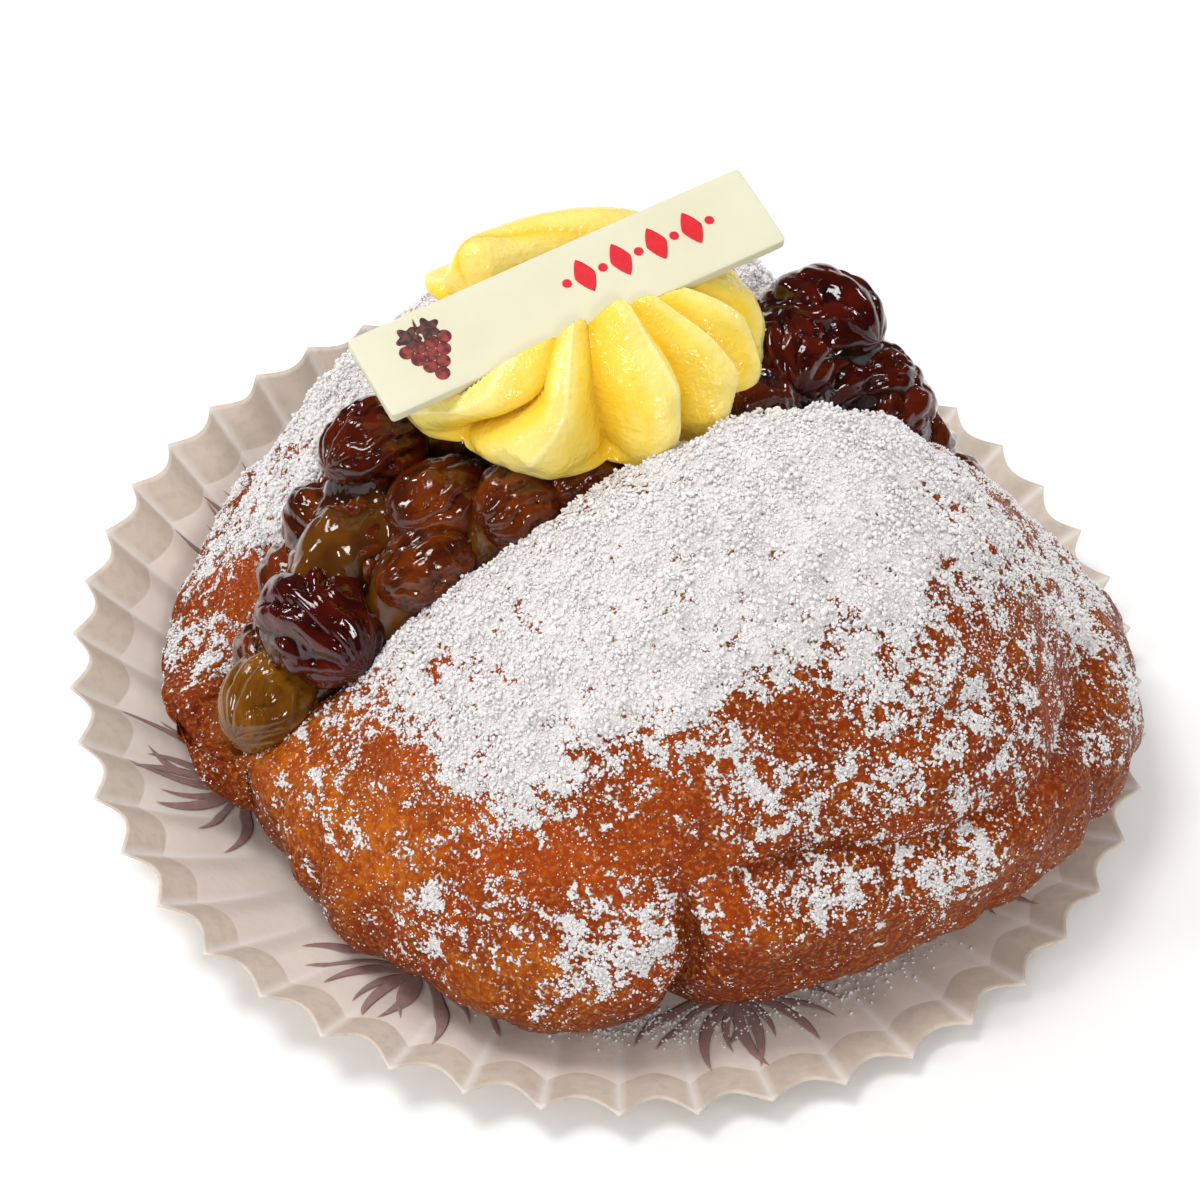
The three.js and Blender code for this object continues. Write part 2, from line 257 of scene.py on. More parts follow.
class Nodes:
    """Adds nodes to a tree, and links whatever is a socket."""

    def __init__(self, tree):
        self.tree = tree

    def add(self, kind, inputs=None, **settings):
        node = self.tree.nodes.new(kind)
        for key, value in settings.items():
            setattr(node, key, value)
        for key, value in (inputs or {}).items():
            self.put(node.inputs[key], value)
        return node

    def put(self, socket, value):
        if isinstance(value, bpy.types.NodeSocket):
            self.tree.links.new(value, socket)
        else:
            socket.default_value = value

    def math(self, operation, a, b=0.0, clamp=False):
        node = self.add("ShaderNodeMath", {0: a, 1: b}, operation=operation, use_clamp=clamp)
        return node.outputs[0]

    def ramp(self, value, low, high, to_low=0.0, to_high=1.0):
        """A soft switch: to_low where the value is below low, and to_high where it is above high."""
        node = self.add("ShaderNodeMapRange", {0: value, 1: low, 2: high, 3: to_low, 4: to_high})
        node.interpolation_type = "SMOOTHSTEP"
        return node.outputs["Result"]

    def blend(self, factor, a, b):
        """a where the factor is 0 and b where it is 1, for colours."""
        node = self.add("ShaderNodeMix", data_type="RGBA")
        self.put(node.inputs["Factor"], factor)
        self.put(node.inputs[COLOUR_A], a)
        self.put(node.inputs[COLOUR_B], b)
        return node.outputs[COLOUR_RESULT]

    def value(self, name):
        """The number that a piece carries at its points under this name."""
        return self.add("ShaderNodeAttribute", attribute_name=name).outputs["Fac"]

    def noise(self, place, scale, detail, **more):
        """A cloud from 0 to 1 at a place, with features 1 / scale across."""
        inputs = {"Vector": place, "Scale": scale, "Detail": detail, **more}
        return self.add("ShaderNodeTexNoise", inputs).outputs["Fac"]

    def scaled(self, vector, sizes):
        """A vector with each of its parts times its own size."""
        node = self.add("ShaderNodeVectorMath", {0: vector, 1: sizes}, operation="MULTIPLY")
        return node.outputs["Vector"]

    def group(self, tree, **inputs):
        """A shared group. An input's name has an underscore for each space."""
        node = self.add("ShaderNodeGroup", node_tree=tree)
        for key, value in inputs.items():
            self.put(node.inputs[key.replace("_", " ")], value)
        return node


def new_group(name, inputs, outputs):
    """An empty node group with these inputs and their defaults, and these outputs.

    Each is a number, apart from Normal, which is a vector.
    """
    tree = bpy.data.node_groups.new(name, "ShaderNodeTree")
    for way, keys in (("INPUT", inputs), ("OUTPUT", outputs)):
        for key in keys:
            kind = "NodeSocketVector" if key == "Normal" else "NodeSocketFloat"
            socket = tree.interface.new_socket(key, in_out=way, socket_type=kind)
            if way == "INPUT":
                socket.default_value = inputs[key]
    nodes = Nodes(tree)
    return tree, nodes, nodes.add("NodeGroupInput").outputs, nodes.add("NodeGroupOutput").inputs


def hue(text):
    """A colour from six hex digits as a screen shows it, in the linear light that shaders use."""
    shown = np.array([int(text[i : i + 2], 16) for i in (0, 2, 4)]) / 255
    linear = np.where(shown <= 0.04045, shown / 12.92, ((shown + 0.055) / 1.055) ** 2.4)
    return (*linear.tolist(), 1.0)


def bumped(nodes, height, distance, strength=1.0, normal=None):
    """A normal from a height of 0 to 1, where 1 stands this many millimetres proud."""
    inputs = {"Height": height, "Distance": distance * MM, "Strength": strength}
    if normal is not None:
        inputs["Normal"] = normal
    return nodes.add("ShaderNodeBump", inputs).outputs[0]


print("half of a screen's brightness is", round(hue("808080")[0], 3), "of its light")

# %% The shared groups
mottle_inputs = {"Size mm": 2.0, "Detail": 4.0, "Cover": 0.5, "Soft": 0.1}
mottle_tree, n, given, result = new_group("mottle", mottle_inputs, ["Mask", "Height"])
place = n.add("ShaderNodeTexCoord").outputs["Object"]
cloud = n.noise(place, n.math("DIVIDE", 1 / MM, given["Size mm"]), given["Detail"])
edge = n.math("SUBTRACT", 1.0, given["Cover"])
low = n.math("SUBTRACT", edge, given["Soft"])
high = n.math("ADD", edge, given["Soft"])
n.put(result["Mask"], n.ramp(cloud, low, high))
n.put(result["Height"], cloud)

shine_inputs = {"Size mm": 3.0, "Dull": 0.5, "Glossy": 0.2}
shine_tree, n, given, result = new_group("shine", shine_inputs, ["Roughness"])
place = n.add("ShaderNodeTexCoord").outputs["Object"]
cloud = n.noise(place, n.math("DIVIDE", 1 / MM, given["Size mm"]), 3.0)
n.put(result["Roughness"], n.ramp(cloud, 0.35, 0.65, given["Dull"], given["Glossy"]))

wet_inputs = {"Big mm": 3.0, "Small mm": 1.0, "Normal": (0.0, 0.0, 0.0)}
wet_tree, n, given, result = new_group("wet film", wet_inputs, ["Roughness", "Normal"])
film = n.group(shine_tree, Size_mm=3.0, Dull=0.12, Glossy=0.04)
n.put(result["Roughness"], film.outputs["Roughness"])
waves = n.group(mottle_tree, Size_mm=given["Big mm"], Detail=2.0)
ripples = n.group(mottle_tree, Size_mm=given["Small mm"], Detail=2.0)
wavy = bumped(n, waves.outputs["Height"], 0.55, 0.55, given["Normal"])
n.put(result["Normal"], bumped(n, ripples.outputs["Height"], 0.03, 0.4, wavy))
print("shared groups:", mottle_tree.name, shine_tree.name, wet_tree.name)


# %% A finish
def new_finish(name, **plain):
    """A material with a Principled shader, whose plain values are the same all over."""
    material = bpy.data.materials.new(name)
    material.use_nodes = True
    material.node_tree.nodes.clear()
    nodes = Nodes(material.node_tree)
    shader = nodes.add("ShaderNodeBsdfPrincipled")
    output = nodes.add("ShaderNodeOutputMaterial")
    nodes.put(output.inputs["Surface"], shader.outputs[0])
    for key, value in plain.items():
        nodes.put(shader.inputs[key.replace("_", " ")], value)
    print("new finish:", name)
    return material, nodes, shader.inputs


# %% [markdown]
# ## Camera, light and table
#
# The camera looks down at the bun from the front left through a long lens, as
# for a shop's catalogue. The light is a bright sky with five soft lamps: a wide
# one overhead, and smaller ones all round that put sparkle on the jelly. A white
# sky mirrored in dark wet fruit turns it grey. In a studio black cloth hung round
# the table prevents that, and here the sky is dimmer for glossy rays.
# %% Camera
AIM = np.array([2.37, 9.42, 9.9])
DISTANCE, TURN, TILT = 389.0, math.radians(-23), math.radians(44)
SENSOR, LENS = 36.0, 94.65

camera_data = bpy.data.cameras.new("camera")
camera_data.sensor_width, camera_data.lens = SENSOR, LENS
camera = bpy.data.objects.new("camera", camera_data)
towards = np.array(
    [math.sin(TURN) * math.cos(TILT), -math.cos(TURN) * math.cos(TILT), math.sin(TILT)]
)
camera.location = Vector((AIM + DISTANCE * towards) * MM)
camera.rotation_euler = Vector(-towards).to_track_quat("-Z", "Y").to_euler()
bpy.context.scene.collection.objects.link(camera)
bpy.context.scene.camera = camera
bpy.context.scene.view_settings.view_transform = "Standard"
print("camera at", np.round(AIM + DISTANCE * towards), "mm")


# %% Light
LIT = Vector((0, 0, 0.03))


def soft_lamp(name, place, size, watts):
    """A square lamp of this size in metres at a place in metres, turned to the bun."""
    data = bpy.data.lights.new(name, "AREA")
    data.shape, data.size, data.energy = "SQUARE", size, watts
    lamp = bpy.data.objects.new(name, data)
    lamp.location = place
    lamp.rotation_euler = (LIT - Vector(place)).to_track_quat("-Z", "Y").to_euler()
    bpy.context.scene.collection.objects.link(lamp)
    print(f"{name}: {watts} W")


soft_lamp("lamp_above", (-0.25, 0.1, 0.85), 0.26, 3.0)
soft_lamp("lamp_front", (-0.15, -0.8, 0.5), 0.15, 1.5)
soft_lamp("lamp_behind", (-0.3, 0.7, 0.6), 0.12, 1.0)
soft_lamp("lamp_left", (-0.8, 0.0, 0.45), 0.12, 1.0)
soft_lamp("lamp_right", (0.8, 0.2, 0.45), 0.1, 0.65)

SKY, SKY_IN_GLOSS = 0.68, 0.04
world = bpy.data.worlds.new("studio")
world.use_nodes = True
sky = Nodes(world.node_tree)
background = world.node_tree.nodes["Background"]
background.inputs["Color"].default_value = (1.0, 1.0, 1.0, 1.0)
gloss = sky.add("ShaderNodeLightPath").outputs["Is Glossy Ray"]
sky.put(background.inputs["Strength"], sky.ramp(gloss, 0.0, 1.0, SKY, SKY_IN_GLOSS))
bpy.context.scene.world = world

# %% The table
TABLE_HALF = 3000.0
corners = np.array([[-1, -1, 0], [1, -1, 0], [1, 1, 0], [-1, 1, 0]]) * TABLE_HALF
table = new_piece("table", corners, [np.array([[0, 1, 2, 3]])], rounded=False)
table_finish, n, shader = new_finish("pale_table", Roughness=0.6)
spots = n.group(mottle_tree, Size_mm=60.0, Detail=2.0, Cover=0.5, Soft=0.2)
n.put(shader["Base Color"], n.blend(spots.outputs["Mask"], hue("f6f6f6"), hue("f9f9f8")))
table.data.materials.append(table_finish)

# %% [markdown]
# ## The paper case
#
# A round of thin paper is pressed into a pleated cup. Its pleats are sharp
# creases that point outwards, with a shallow rounded panel between each two. A
# disc could be folded with modifiers, but one formula for the radius at each
# angle gives the creases exactly, and the same formula later lays the printed
# leaves on the paper. The base is flat and the wall leans out, more at the front
# than at the back, as soft paper does under a weight.
# %% The paper's shape
CASE = dict(base=44.0, rim=63.7, paper=0.35, height=9.3, lean=6.6, high_side=112.0)
PLEATS, PLEAT_DEPTH, FLARE = 48, 2.2, 1.4


def paper_point(angle, reach, lift=0.0):
    """A point on the paper at an angle and a reach from the middle before pleating.

    share goes from 0 at the base's edge to 1 at the rim. The radius is the reach plus
    the pleat, 1 - |sin| with a crest at each crease, times the share. The height is
    the rim's height there times the share to the power of the flare.
    """
    share = np.clip((reach - CASE["base"]) / (CASE["rim"] - CASE["base"]), 0.0, 1.0)
    crease = 1.0 - np.abs(np.sin(0.5 * PLEATS * angle))
    wander = np.stack([np.cos(angle) * 9, np.sin(angle) * 9, share * 1.5], axis=-1)
    uneven = 1.0 + 0.35 * lumps(wander, 1.0, 3)
    radius = reach + PLEAT_DEPTH * share * (crease - 0.5) * uneven
    rim = CASE["height"] + CASE["lean"] * np.cos(angle - math.radians(CASE["high_side"]))
    height = rim * share**FLARE + 0.3 * share * lumps(wander, 2.0, 4)
    return np.stack([radius * np.cos(angle), radius * np.sin(angle), height + lift], axis=-1)


def paper_grid(columns, steps):
    """Rows outwards under the paper and back in on top of it, columns once round."""
    angle = np.arange(columns) / columns * 2 * np.pi
    base, rim = CASE["base"], CASE["rim"]
    out = np.concatenate([[0.0], np.linspace(15, base, 4), np.linspace(base + 0.5, rim, steps)])
    reach = np.concatenate([out, out[::-1]])
    lift = np.where(np.arange(len(reach)) < len(out), 0.0, CASE["paper"])
    angle, reach = np.meshgrid(angle, reach)
    grid = paper_point(angle, reach, lift[:, None])
    wave = 0.5 * PLEATS * angle
    # A paler line along each sharp fold: partly whitened paper, partly a painted highlight on the
    # ridge.
    fold_light_and_shade = smooth(reach, 46, 54) * smooth(np.abs(np.cos(wave)), 0.965, 1.0)
    # Painted shade on one side of each pleat.
    shaded = smooth(reach, 44, 54) * np.abs(np.sin(wave + 0.9)) ** 3
    return grid, {"reach": reach / rim, "fold_light_and_shade": fold_light_and_shade, "shaded": shaded}


case_grid, case_values = paper_grid(PLEATS * 16, 40)
case = skin("case_paper", case_grid, case_values)
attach(case, "root")
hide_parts("paper_case")
report(case)

# %% [markdown]
# ## The paper's finish
#
# The case is greaseproof paper printed with a plain beige band along the rim.
# The band has a crisp edge, so it is cut from the reach attribute with a narrow
# step. Two more attributes paint light and shade on the pleats: a paler line along
# each sharp fold, partly paper whitened by the crease and partly a painted
# highlight on its ridge, and painted shade on one side of each pleat. Fine flecks
# and faint clouds come from the shared mottle. Light that comes through thin paper
# is left to a touch of subsurface.
# %% Paper
BAND_STARTS, BAND_EDGE = 59.0 / CASE["rim"], 0.002

case_finish, n, shader = new_finish("case_paper", Roughness=0.62, Subsurface_Weight=0.15)
n.put(shader["Subsurface Radius"], (0.002, 0.002, 0.002))
band = n.ramp(n.value("reach"), BAND_STARTS - BAND_EDGE, BAND_STARTS + BAND_EDGE)
flecks = n.group(mottle_tree, Size_mm=1.3, Detail=6.0, Cover=0.45, Soft=0.12)
clouds = n.group(mottle_tree, Size_mm=14.0, Detail=3.0, Cover=0.5, Soft=0.15)
inside = n.blend(clouds.outputs["Mask"], hue("f7ebdf"), hue("eaded4"))
beige = n.blend(flecks.outputs["Mask"], hue("d9cbbb"), hue("d0c3b5"))
plain = n.blend(band, inside, beige)
# Painted shade on one side of each pleat.
plain = n.blend(n.math("MULTIPLY", n.value("shaded"), 0.3), plain, hue("a8988c"))
# Paler fold lines: partly whitened paper, partly a painted highlight on the ridge.
n.put(shader["Base Color"], n.blend(n.math("MULTIPLY", n.value("fold_light_and_shade"), 0.6), plain, hue("f6f1ec")))
n.put(shader["Normal"], bumped(n, flecks.outputs["Height"], 0.12, 0.6))
case.data.materials.append(case_finish)

# %% [markdown]
# ## Leaves printed on the paper
#
# Sprigs of slender leaves are printed in brown ink inside the case, eight of
# them, evenly round it. Each leaf could be a mask in the paper's shader, but a
# leaf is easier to draw as a thin patch with its own outline: a curved midrib
# with a width along it, laid on the same paper formula a hair above the paper.
# %% One leaf, one sprig
LEAF_LIFT = 0.12


def leaf(middle_angle, stem, heading, length, bend, width):
    """A closed thin patch along a midrib that starts at the stem's reach.

    The midrib turns evenly by bend over its length, in degrees. The half width is
    width / 2 times the sine of pi t^0.75, to the 0.8, which is widest at t = 0.4.
    """
    t = np.linspace(0.0, 1.0, 16)[:, None]
    turn = np.radians(heading + bend * t)
    step = length / (len(t) - 1)
    along = np.concatenate([np.zeros((1, 1)), np.cumsum(np.sin(turn[:-1]) * step, axis=0)])
    out = np.concatenate([np.zeros((1, 1)), np.cumsum(np.cos(turn[:-1]) * step, axis=0)])
    half = 0.5 * width * np.sin(np.pi * t**0.75) ** 0.8
    round_way = np.arange(8)[None, :] / 8 * 2 * np.pi
    side = half * np.cos(round_way)
    sideways = along + side * np.cos(turn)
    reach = stem + out - side * np.sin(turn)
    thickness = 0.05 * np.sin(round_way) * np.minimum(1.0, 6 * half)
    lift = CASE["paper"] + LEAF_LIFT + thickness
    return paper_point(middle_angle + sideways / reach, reach, lift)


# Heading from straight out in degrees, length, bend, width, how far up the stem.
LEAVES = [
    (-96, 15.5, 66, 1.4, 0.0), (-74, 13.0, 48, 0.9, 0.1), (-62, 14.0, 62, 1.5, 0.3),
    (-42, 10.0, 50, 0.9, 0.5), (-24, 11.5, 44, 1.4, 0.8), (-6, 9.5, -36, 0.9, 0.9),
    (20, 11.0, -46, 1.4, 0.8), (40, 10.0, -52, 0.9, 0.6), (58, 13.5, -58, 1.5, 0.4),
    (74, 12.5, -48, 0.9, 0.2), (94, 15.0, -66, 1.4, 0.0),
]
SPRIGS, FIRST_SPRIG, SPRIG_REACH = 8, -96.0, 47.0


def sprig(k):
    """The leaves of one sprig, mirrored on every second one."""
    hand = 1 if k % 2 == 0 else -1
    rng = np.random.default_rng(40 + k)
    angle = math.radians(FIRST_SPRIG + 360 / SPRIGS * k)
    made = []
    for heading, length, bend, width, up_stem in LEAVES:
        size = rng.uniform(0.85, 1.12)
        turned = hand * (heading + rng.uniform(-5, 5))
        made.append(leaf(angle, SPRIG_REACH + up_stem, turned, length * size, hand * bend, width))
    return made


case_print = skin("case_print", [printed for k in range(SPRIGS) for printed in sprig(k)])
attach(case_print, "root")
report(case_print)

ink, n, shader = new_finish("case_print", Roughness=0.7)
worn = n.group(mottle_tree, Size_mm=0.9, Detail=5.0, Cover=0.4, Soft=0.2)
n.put(shader["Base Color"], n.blend(worn.outputs["Mask"], hue("a07e78"), hue("ae908a")))
case_print.data.materials.append(ink)

# %% [markdown]
# ## The dough
#
# The bun is one skin that goes down into the cut and up again. Its section, a
# closed spline of a few points, changes along the bun with the plan, the crest
# and the cut. Sculpting would give richer folds, but this way the dough is the
# frame's own bun, only finer: its creases are sharper, and the cut is filled a
# little higher at both ends. Where the dough rose against itself while frying it
# has a waist with a roll below it, and an upright crease at the front parts that
# roll from a lobe on its left. The right end leans to the front, as soft dough
# settles.
# %% Plan, crest and cut along the bun
START_X, END_X, END_Z, PEAK_X, PEAK_Z = -52.5, 57.5, 13.0, 14.0, 52.5
PAPER_TOP, SLIVER = 0.9, 13.0
FRONT_REACH, BACK_REACH, REACH_HALF = 53.5, 45.5, 52.0
CUT_MIDDLE, CUT_HALF = -3.0, 52.0
LEAN, LEAN_FROM = 9.0, 36.0


def crest_height(x):
    """Height of the crest: 1 - d^n to a power on each side of its peak.

    d goes from 0 at the peak to 1 at the end.
    """
    left = power(1 - (np.abs(x - PEAK_X) / (PEAK_X - START_X)) ** 2.1, 1.3)
    right = power(1 - (np.abs(x - PEAK_X) / (END_X - PEAK_X)) ** 1.95, 1.25)
    return mix(END_Z, PEAK_Z, np.where(x < PEAK_X, left, right))


def back_share(x):
    """The back half's height as a share of the front's: 0.93, falling to 0.72 at the right end."""
    return mix(0.93, 0.72, smooth(x, 22, 48))


def lean(x):
    """How far the right end leans to the front: a soft switch from where it starts to the end."""
    return LEAN * smooth(x, LEAN_FROM, END_X)


def roundness(along, exponent):
    """The superellipse: (1 - |along|^n)^(1/n)."""
    return power(1 - np.abs(along) ** exponent, 1 / exponent)


def bun_plan(x):
    """The outline's front and back, their middle, the underside's height and the roundness there.

    Front and back are superellipses, but never less than a sliver.
    """
    middle_x = (START_X + END_X) / 2
    along = np.clip(2 * (x - middle_x) / (END_X - START_X), -1, 1)
    overall = roundness(along, 2)
    front = -np.maximum(FRONT_REACH * roundness((x - 4.5) / REACH_HALF, 2.5), SLIVER * overall)
    back = np.maximum(BACK_REACH * roundness((x + 1.0) / REACH_HALF, 2.5), SLIVER * overall)
    floor = mix(PAPER_TOP, END_Z, 1 - power(1 - along**4, 0.5))
    return front, back, (front + back) / 2, floor, overall


def openness(x):
    """How open the cut is: 1 - d^2.2, d going from 0 at its middle to 1 at its ends."""
    return power(1 - (np.abs(x - CUT_MIDDLE) / CUT_HALF) ** 2.2, 1)


def cut_at(x):
    """The cut's line and its front and back lip, which part by the openness to the 0.6."""
    opening = openness(x)
    line = 0.2 + 4.3 * opening
    return line, line - 11.5 * opening**0.6, line + 14.0 * opening**0.6


_, front_lip, back_lip = cut_at(CUT_MIDDLE)
print(f"the crest is {PEAK_Z} mm high, and the cut {back_lip - front_lip} mm wide")

# %% The section and the skin
UNDERSIDE = [(0.45, 0), (0.74, 0), (0.96, 0.08), (1.07, 0.27), (1.05, 0.5)]
DOME = [(0.12, 0.76), (0.34, 0.95), (0.6, 1.03), (0.86, 1.02), (1.01, 0.9)]
SECTION_POINTS = 1 + 2 * (len(UNDERSIDE) + len(DOME) + 2)


def half_section(middle, floor, edge, lip, crest, line, floor_z, away):
    """Control points as y and z at each x: the underside, the dome, then the cut's wall."""
    points = [(mix(middle, edge, out), mix(floor, crest, up)) for out, up in UNDERSIDE]
    points += [(mix(edge, lip, inward), mix(floor, crest, up)) for inward, up in DOME]
    points.append((mix(lip, line, 0.45), mix(floor_z, crest, 0.45)))
    points.append((line + away, floor_z))
    return points


def spline(controls, u):
    """A closed cubic B-spline at u: four neighbouring control points with the usual weights."""
    place = (u % 1.0) * len(controls)
    first = np.floor(place).astype(int)
    t = (place - first)[..., None]
    weights = [(1 - t) ** 3, 3 * t**3 - 6 * t**2 + 4, -3 * t**3 + 3 * t**2 + 3 * t + 1, t**3]
    rows = np.arange(controls.shape[1])[:, None]
    return sum(w / 6 * controls[(first + i) % len(controls), rows] for i, w in enumerate(weights))


def bun_surface(u, v):
    """The bun at u round the section from the underside's middle, and v from left to right."""
    x = mix(START_X, END_X, (1 - np.cos(np.pi * v[:, 0])) / 2)
    front, back, middle, floor, overall = bun_plan(x)
    line, front_lip, back_lip = cut_at(x)
    crest = crest_height(x)
    floor_z = mix(floor, crest, mix(0.85, 0.25, smooth(openness(x), 0.1, 0.5)))
    pull = np.minimum(1, overall * 3)
    front_lip, back_lip, line = (mix(middle, y, pull) for y in (front_lip, back_lip, line))
    back_crest = mix(floor, crest, back_share(x))
    far = half_section(middle, floor, back, back_lip, back_crest, line, floor_z, 1.5 * overall)
    near = half_section(middle, floor, front, front_lip, crest, line, floor_z, -1.5 * overall)
    controls = np.array([(middle, floor), *far, *near[::-1]]).transpose(0, 2, 1)
    yz = spline(controls, np.broadcast_to(u, (len(x), u.shape[1])))
    yz[..., 0] -= lean(x)[:, None] * smooth(yz[..., 0], -42, -12)
    return np.concatenate([np.broadcast_to(x[:, None, None], (*yz.shape[:2], 1)), yz], axis=-1)


print("a section of the dough is a spline of", SECTION_POINTS, "points")


# %% Folds and blisters
def fold_swell(p):
    """How far the folds move the crust out.

    Creases are bells taken away, across the waist, upright and at the side. Rolls
    and lobes are added between soft steps.
    """
    x, y, z = p[..., 0], p[..., 1], p[..., 2]
    wander = lumps(p * [1, 1, 0], 11.0, 11)
    front, back = smooth(-y, 14, 30), smooth(y, 22, 34)
    right = smooth(x, -15, -6)
    low = 1 - smooth(z, 20, 34)
    waist_at = mix(27.5, 24.0, smooth(x, 6, 26)) + 1.6 * wander
    waist = front * right * (1.0 * hill(z, waist_at, 3.6) + 0.9 * hill(z, waist_at, 1.1))
    back_waist = back * (1.2 * hill(z, 23 + 2 * wander, 3.2) + 1.2 * hill(z, 23 + 2 * wander, 1.2))
    upright_at = -14 + 1.2 * lumps(p * [0, 1, 1], 6.0, 12)
    upright = front * low * (2.0 * hill(x, upright_at, 2.6) + 1.4 * hill(x, upright_at, 1.0))
    side_at = 38.5 + 2.0 * wander
    side = front * (1 - smooth(z, 20, 27)) * (0.9 * hill(x, side_at, 2.6) + 0.8 * hill(x, side_at, 1.0))
    tuck = front * 0.7 * hill(z, 37.5 + 1.5 * wander, 1.0) * hill(x, 18, 9)
    roll = 1.3 * front * right * (1 - smooth(z, 20, 28))
    lobe = 1.2 * front * hill(x, -27, 8) * (1 - smooth(z, 12, 26))
    end_lobe = 1.4 * smooth(x, 40, 47) * (1 - smooth(z, 20, 30)) * smooth(-y, 6, 22)
    dents = waist + back_waist + upright + side + tuck
    return (roll + lobe + end_lobe - dents) * smooth(z, 1, 8)


def blisters(p):
    """Lumps of three sizes, fine cracks, and creased lumps low down, where the crust puckered."""
    z = p[..., 2]
    puckers = 1.5 * (creased(p * [1, 1, 0.7], 9.0, 21) - 0.4) * (1 - smooth(z, 8, 24))
    cracks = 0.25 * (1 - smooth(creased(p, 3.0, 25), 0, 0.2))
    small = 0.5 * lumps(p, 5.0, 23) + 0.28 * lumps(p, 2.2, 24) - cracks
    return (0.9 * lumps(p, 14.0, 22) + puckers + small) * smooth(z, 1, 5)


print("at the waist the crust goes in by", -fold_swell(np.array([5.0, -45.0, 27.0])).round(1), "mm")


# %% Build the dough
DOUGH_ROWS, DOUGH_COLUMNS = 270, 364


def in_the_cut(u, x):
    """1 on the cut's walls, from one lip of a section to the other, and 0 where the cut closes."""
    place, lip = SECTION_POINTS * u, len(UNDERSIDE) + len(DOME)
    walls = smooth(place, lip - 1, lip) * (1 - smooth(place, lip + 3, lip + 4))
    return walls * smooth(openness(x), 0.15, 0.4)


def dough_grid(rows, columns):
    """The bun's surface moved along its normals by folds and by blisters, which fade in the cut."""
    v, u = unit_grid(rows, columns)
    grid = bun_surface(u, v)
    normal = outward(grid)
    cut = in_the_cut(u, grid[..., 0])
    move = fold_swell(grid) + blisters(grid) * (1 - 0.7 * cut)
    move[0] = move[-1] = 0
    return grid + normal * move[..., None], move, cut


dough, dough_move, dough_cut = dough_grid(DOUGH_ROWS, DOUGH_COLUMNS)
dough_normal = outward(dough)
print("dough spans", np.ptp(dough.reshape(-1, 3), axis=0).round(1), "mm")

# %% [markdown]
# ## Where the sugar fell
#
# Icing sugar falls straight down through a sieve. It lies thick on the crest, in
# patches on each roll that stands out, and hardly at all under an overhang or on
# the steep bare skin between. One field of thickness decides the white on the
# crust, the number of crumbs and their size. A second one, of clusters, says
# where the crumbs draw together, and both the crust and the crumbs follow it.
# Painting them by hand would take a texture, but here a height, a slope and a list
# of patches are enough.
# %% The sugar field
# The middle of each patch, its radius, and how much it adds, or takes away from bare crust.
PATCHES = [
    (-42, -15, 21, 4.5, 0.3), (-42, -24, 20, 3.5, 0.2), (-37, -37, 17, 4.0, 0.3),
    (-11, -44, 37, 6.0, -0.35), (-18, -51, 23, 5.5, 0.4), (-24, -51, 18, 4.0, 0.3),
    (4, -56, 24, 6.0, 0.3), (15, -57, 24, 6.5, 0.55), (0, -42, 44, 5.0, -0.2),
    (-6, -54, 25, 5.0, 0.4), (46, -31, 26, 6.0, 0.5), (52, -20, 24, 8.0, 0.6),
    (48, -36, 17, 4.5, 0.4), (40, -45, 21, 4.0, 0.3), (-4, -49, 35, 4.5, 0.35),
    (-47, 18, 17, 4.0, 0.5), (-46, 11, 17, 3.5, 0.4), (-40, 24, 24, 4.0, 0.3),
    (-10, 49, 21, 6.0, 0.5), (20, 47, 20, 7.0, 0.5), (42, 34, 20, 6.0, 0.55),
    (-30, 42, 17, 5.0, 0.4), (54, 8, 18, 6.0, 0.5), (5, 47, 12, 5.0, 0.25),
    (10, -46, 38, 6.0, -0.15), (-31, -36, 27, 4.0, -0.1), (-25, -43, 28, 3.5, -0.3),
    (-13, -49, 29, 4.5, -0.35), (27, -51, 27, 4.0, 0.15), (-35, -20, 28, 5.0, -0.3),
    (-34, -35, 24, 5.0, -0.2), (42, -25, 38, 6.0, 0.3), (-34, -43, 15, 4.0, -0.2),
    (34, -46, 26, 4.0, 0.25), (-41, 16, 21, 5.5, -0.45), (-49, 4, 11, 5.0, -0.4),
    (-21, -42, 32, 5.0, -0.2), (-41, -21, 22, 5.0, -0.2), (-20, -49, 26, 4.0, -0.15),
]


def sugar_thickness(p, normal):
    """How thick the sugar lies: 0 bare, 1 covered, and up to 1.25 where it is heaped.

    Two soft steps go up the height above a line that wanders with the lumps: the
    first to a broken cover, the second to a full one. Patches are bells. All is
    thinned under overhangs and in the folds, and there is none in the cut.
    """
    x, y, z = p[..., 0], p[..., 1], p[..., 2]
    line = 31.0 + 10.5 * smooth(x, -32, 2) - 8.0 * smooth(y, 5, 25)
    above = z - line + 4.0 * lumps(p, 14.0, 31) + 2.5 * lumps(p, 5.0, 32)
    total = 0.13 + 0.26 * smooth(above, -16.0, -5.0) + 0.88 * smooth(above, -5.0, 9.0)
    for px, py, pz, radius, adds in PATCHES:
        total = total + adds * np.exp(-((np.linalg.norm(p - [px, py, pz], axis=-1) / radius) ** 2))
    total = total + 0.22 * lumps(p, 7.0, 33) + 0.18 * lumps(p, 3.0, 35)
    facing = smooth(normal[..., 2], -0.6, 0.1)
    folded = smooth(dough_move, -3.4, -1.2)
    return np.clip(total * facing * folded * (1 - dough_cut), 0, 1.25)


def clotting(p):
    """How high the sugar is heaped, 0 to 1: lumps of two sizes, switched over a wide span."""
    return smooth(0.9 * lumps(p, 2.6, 54) + 0.6 * lumps(p, 1.3, 58), -0.7, 0.8)


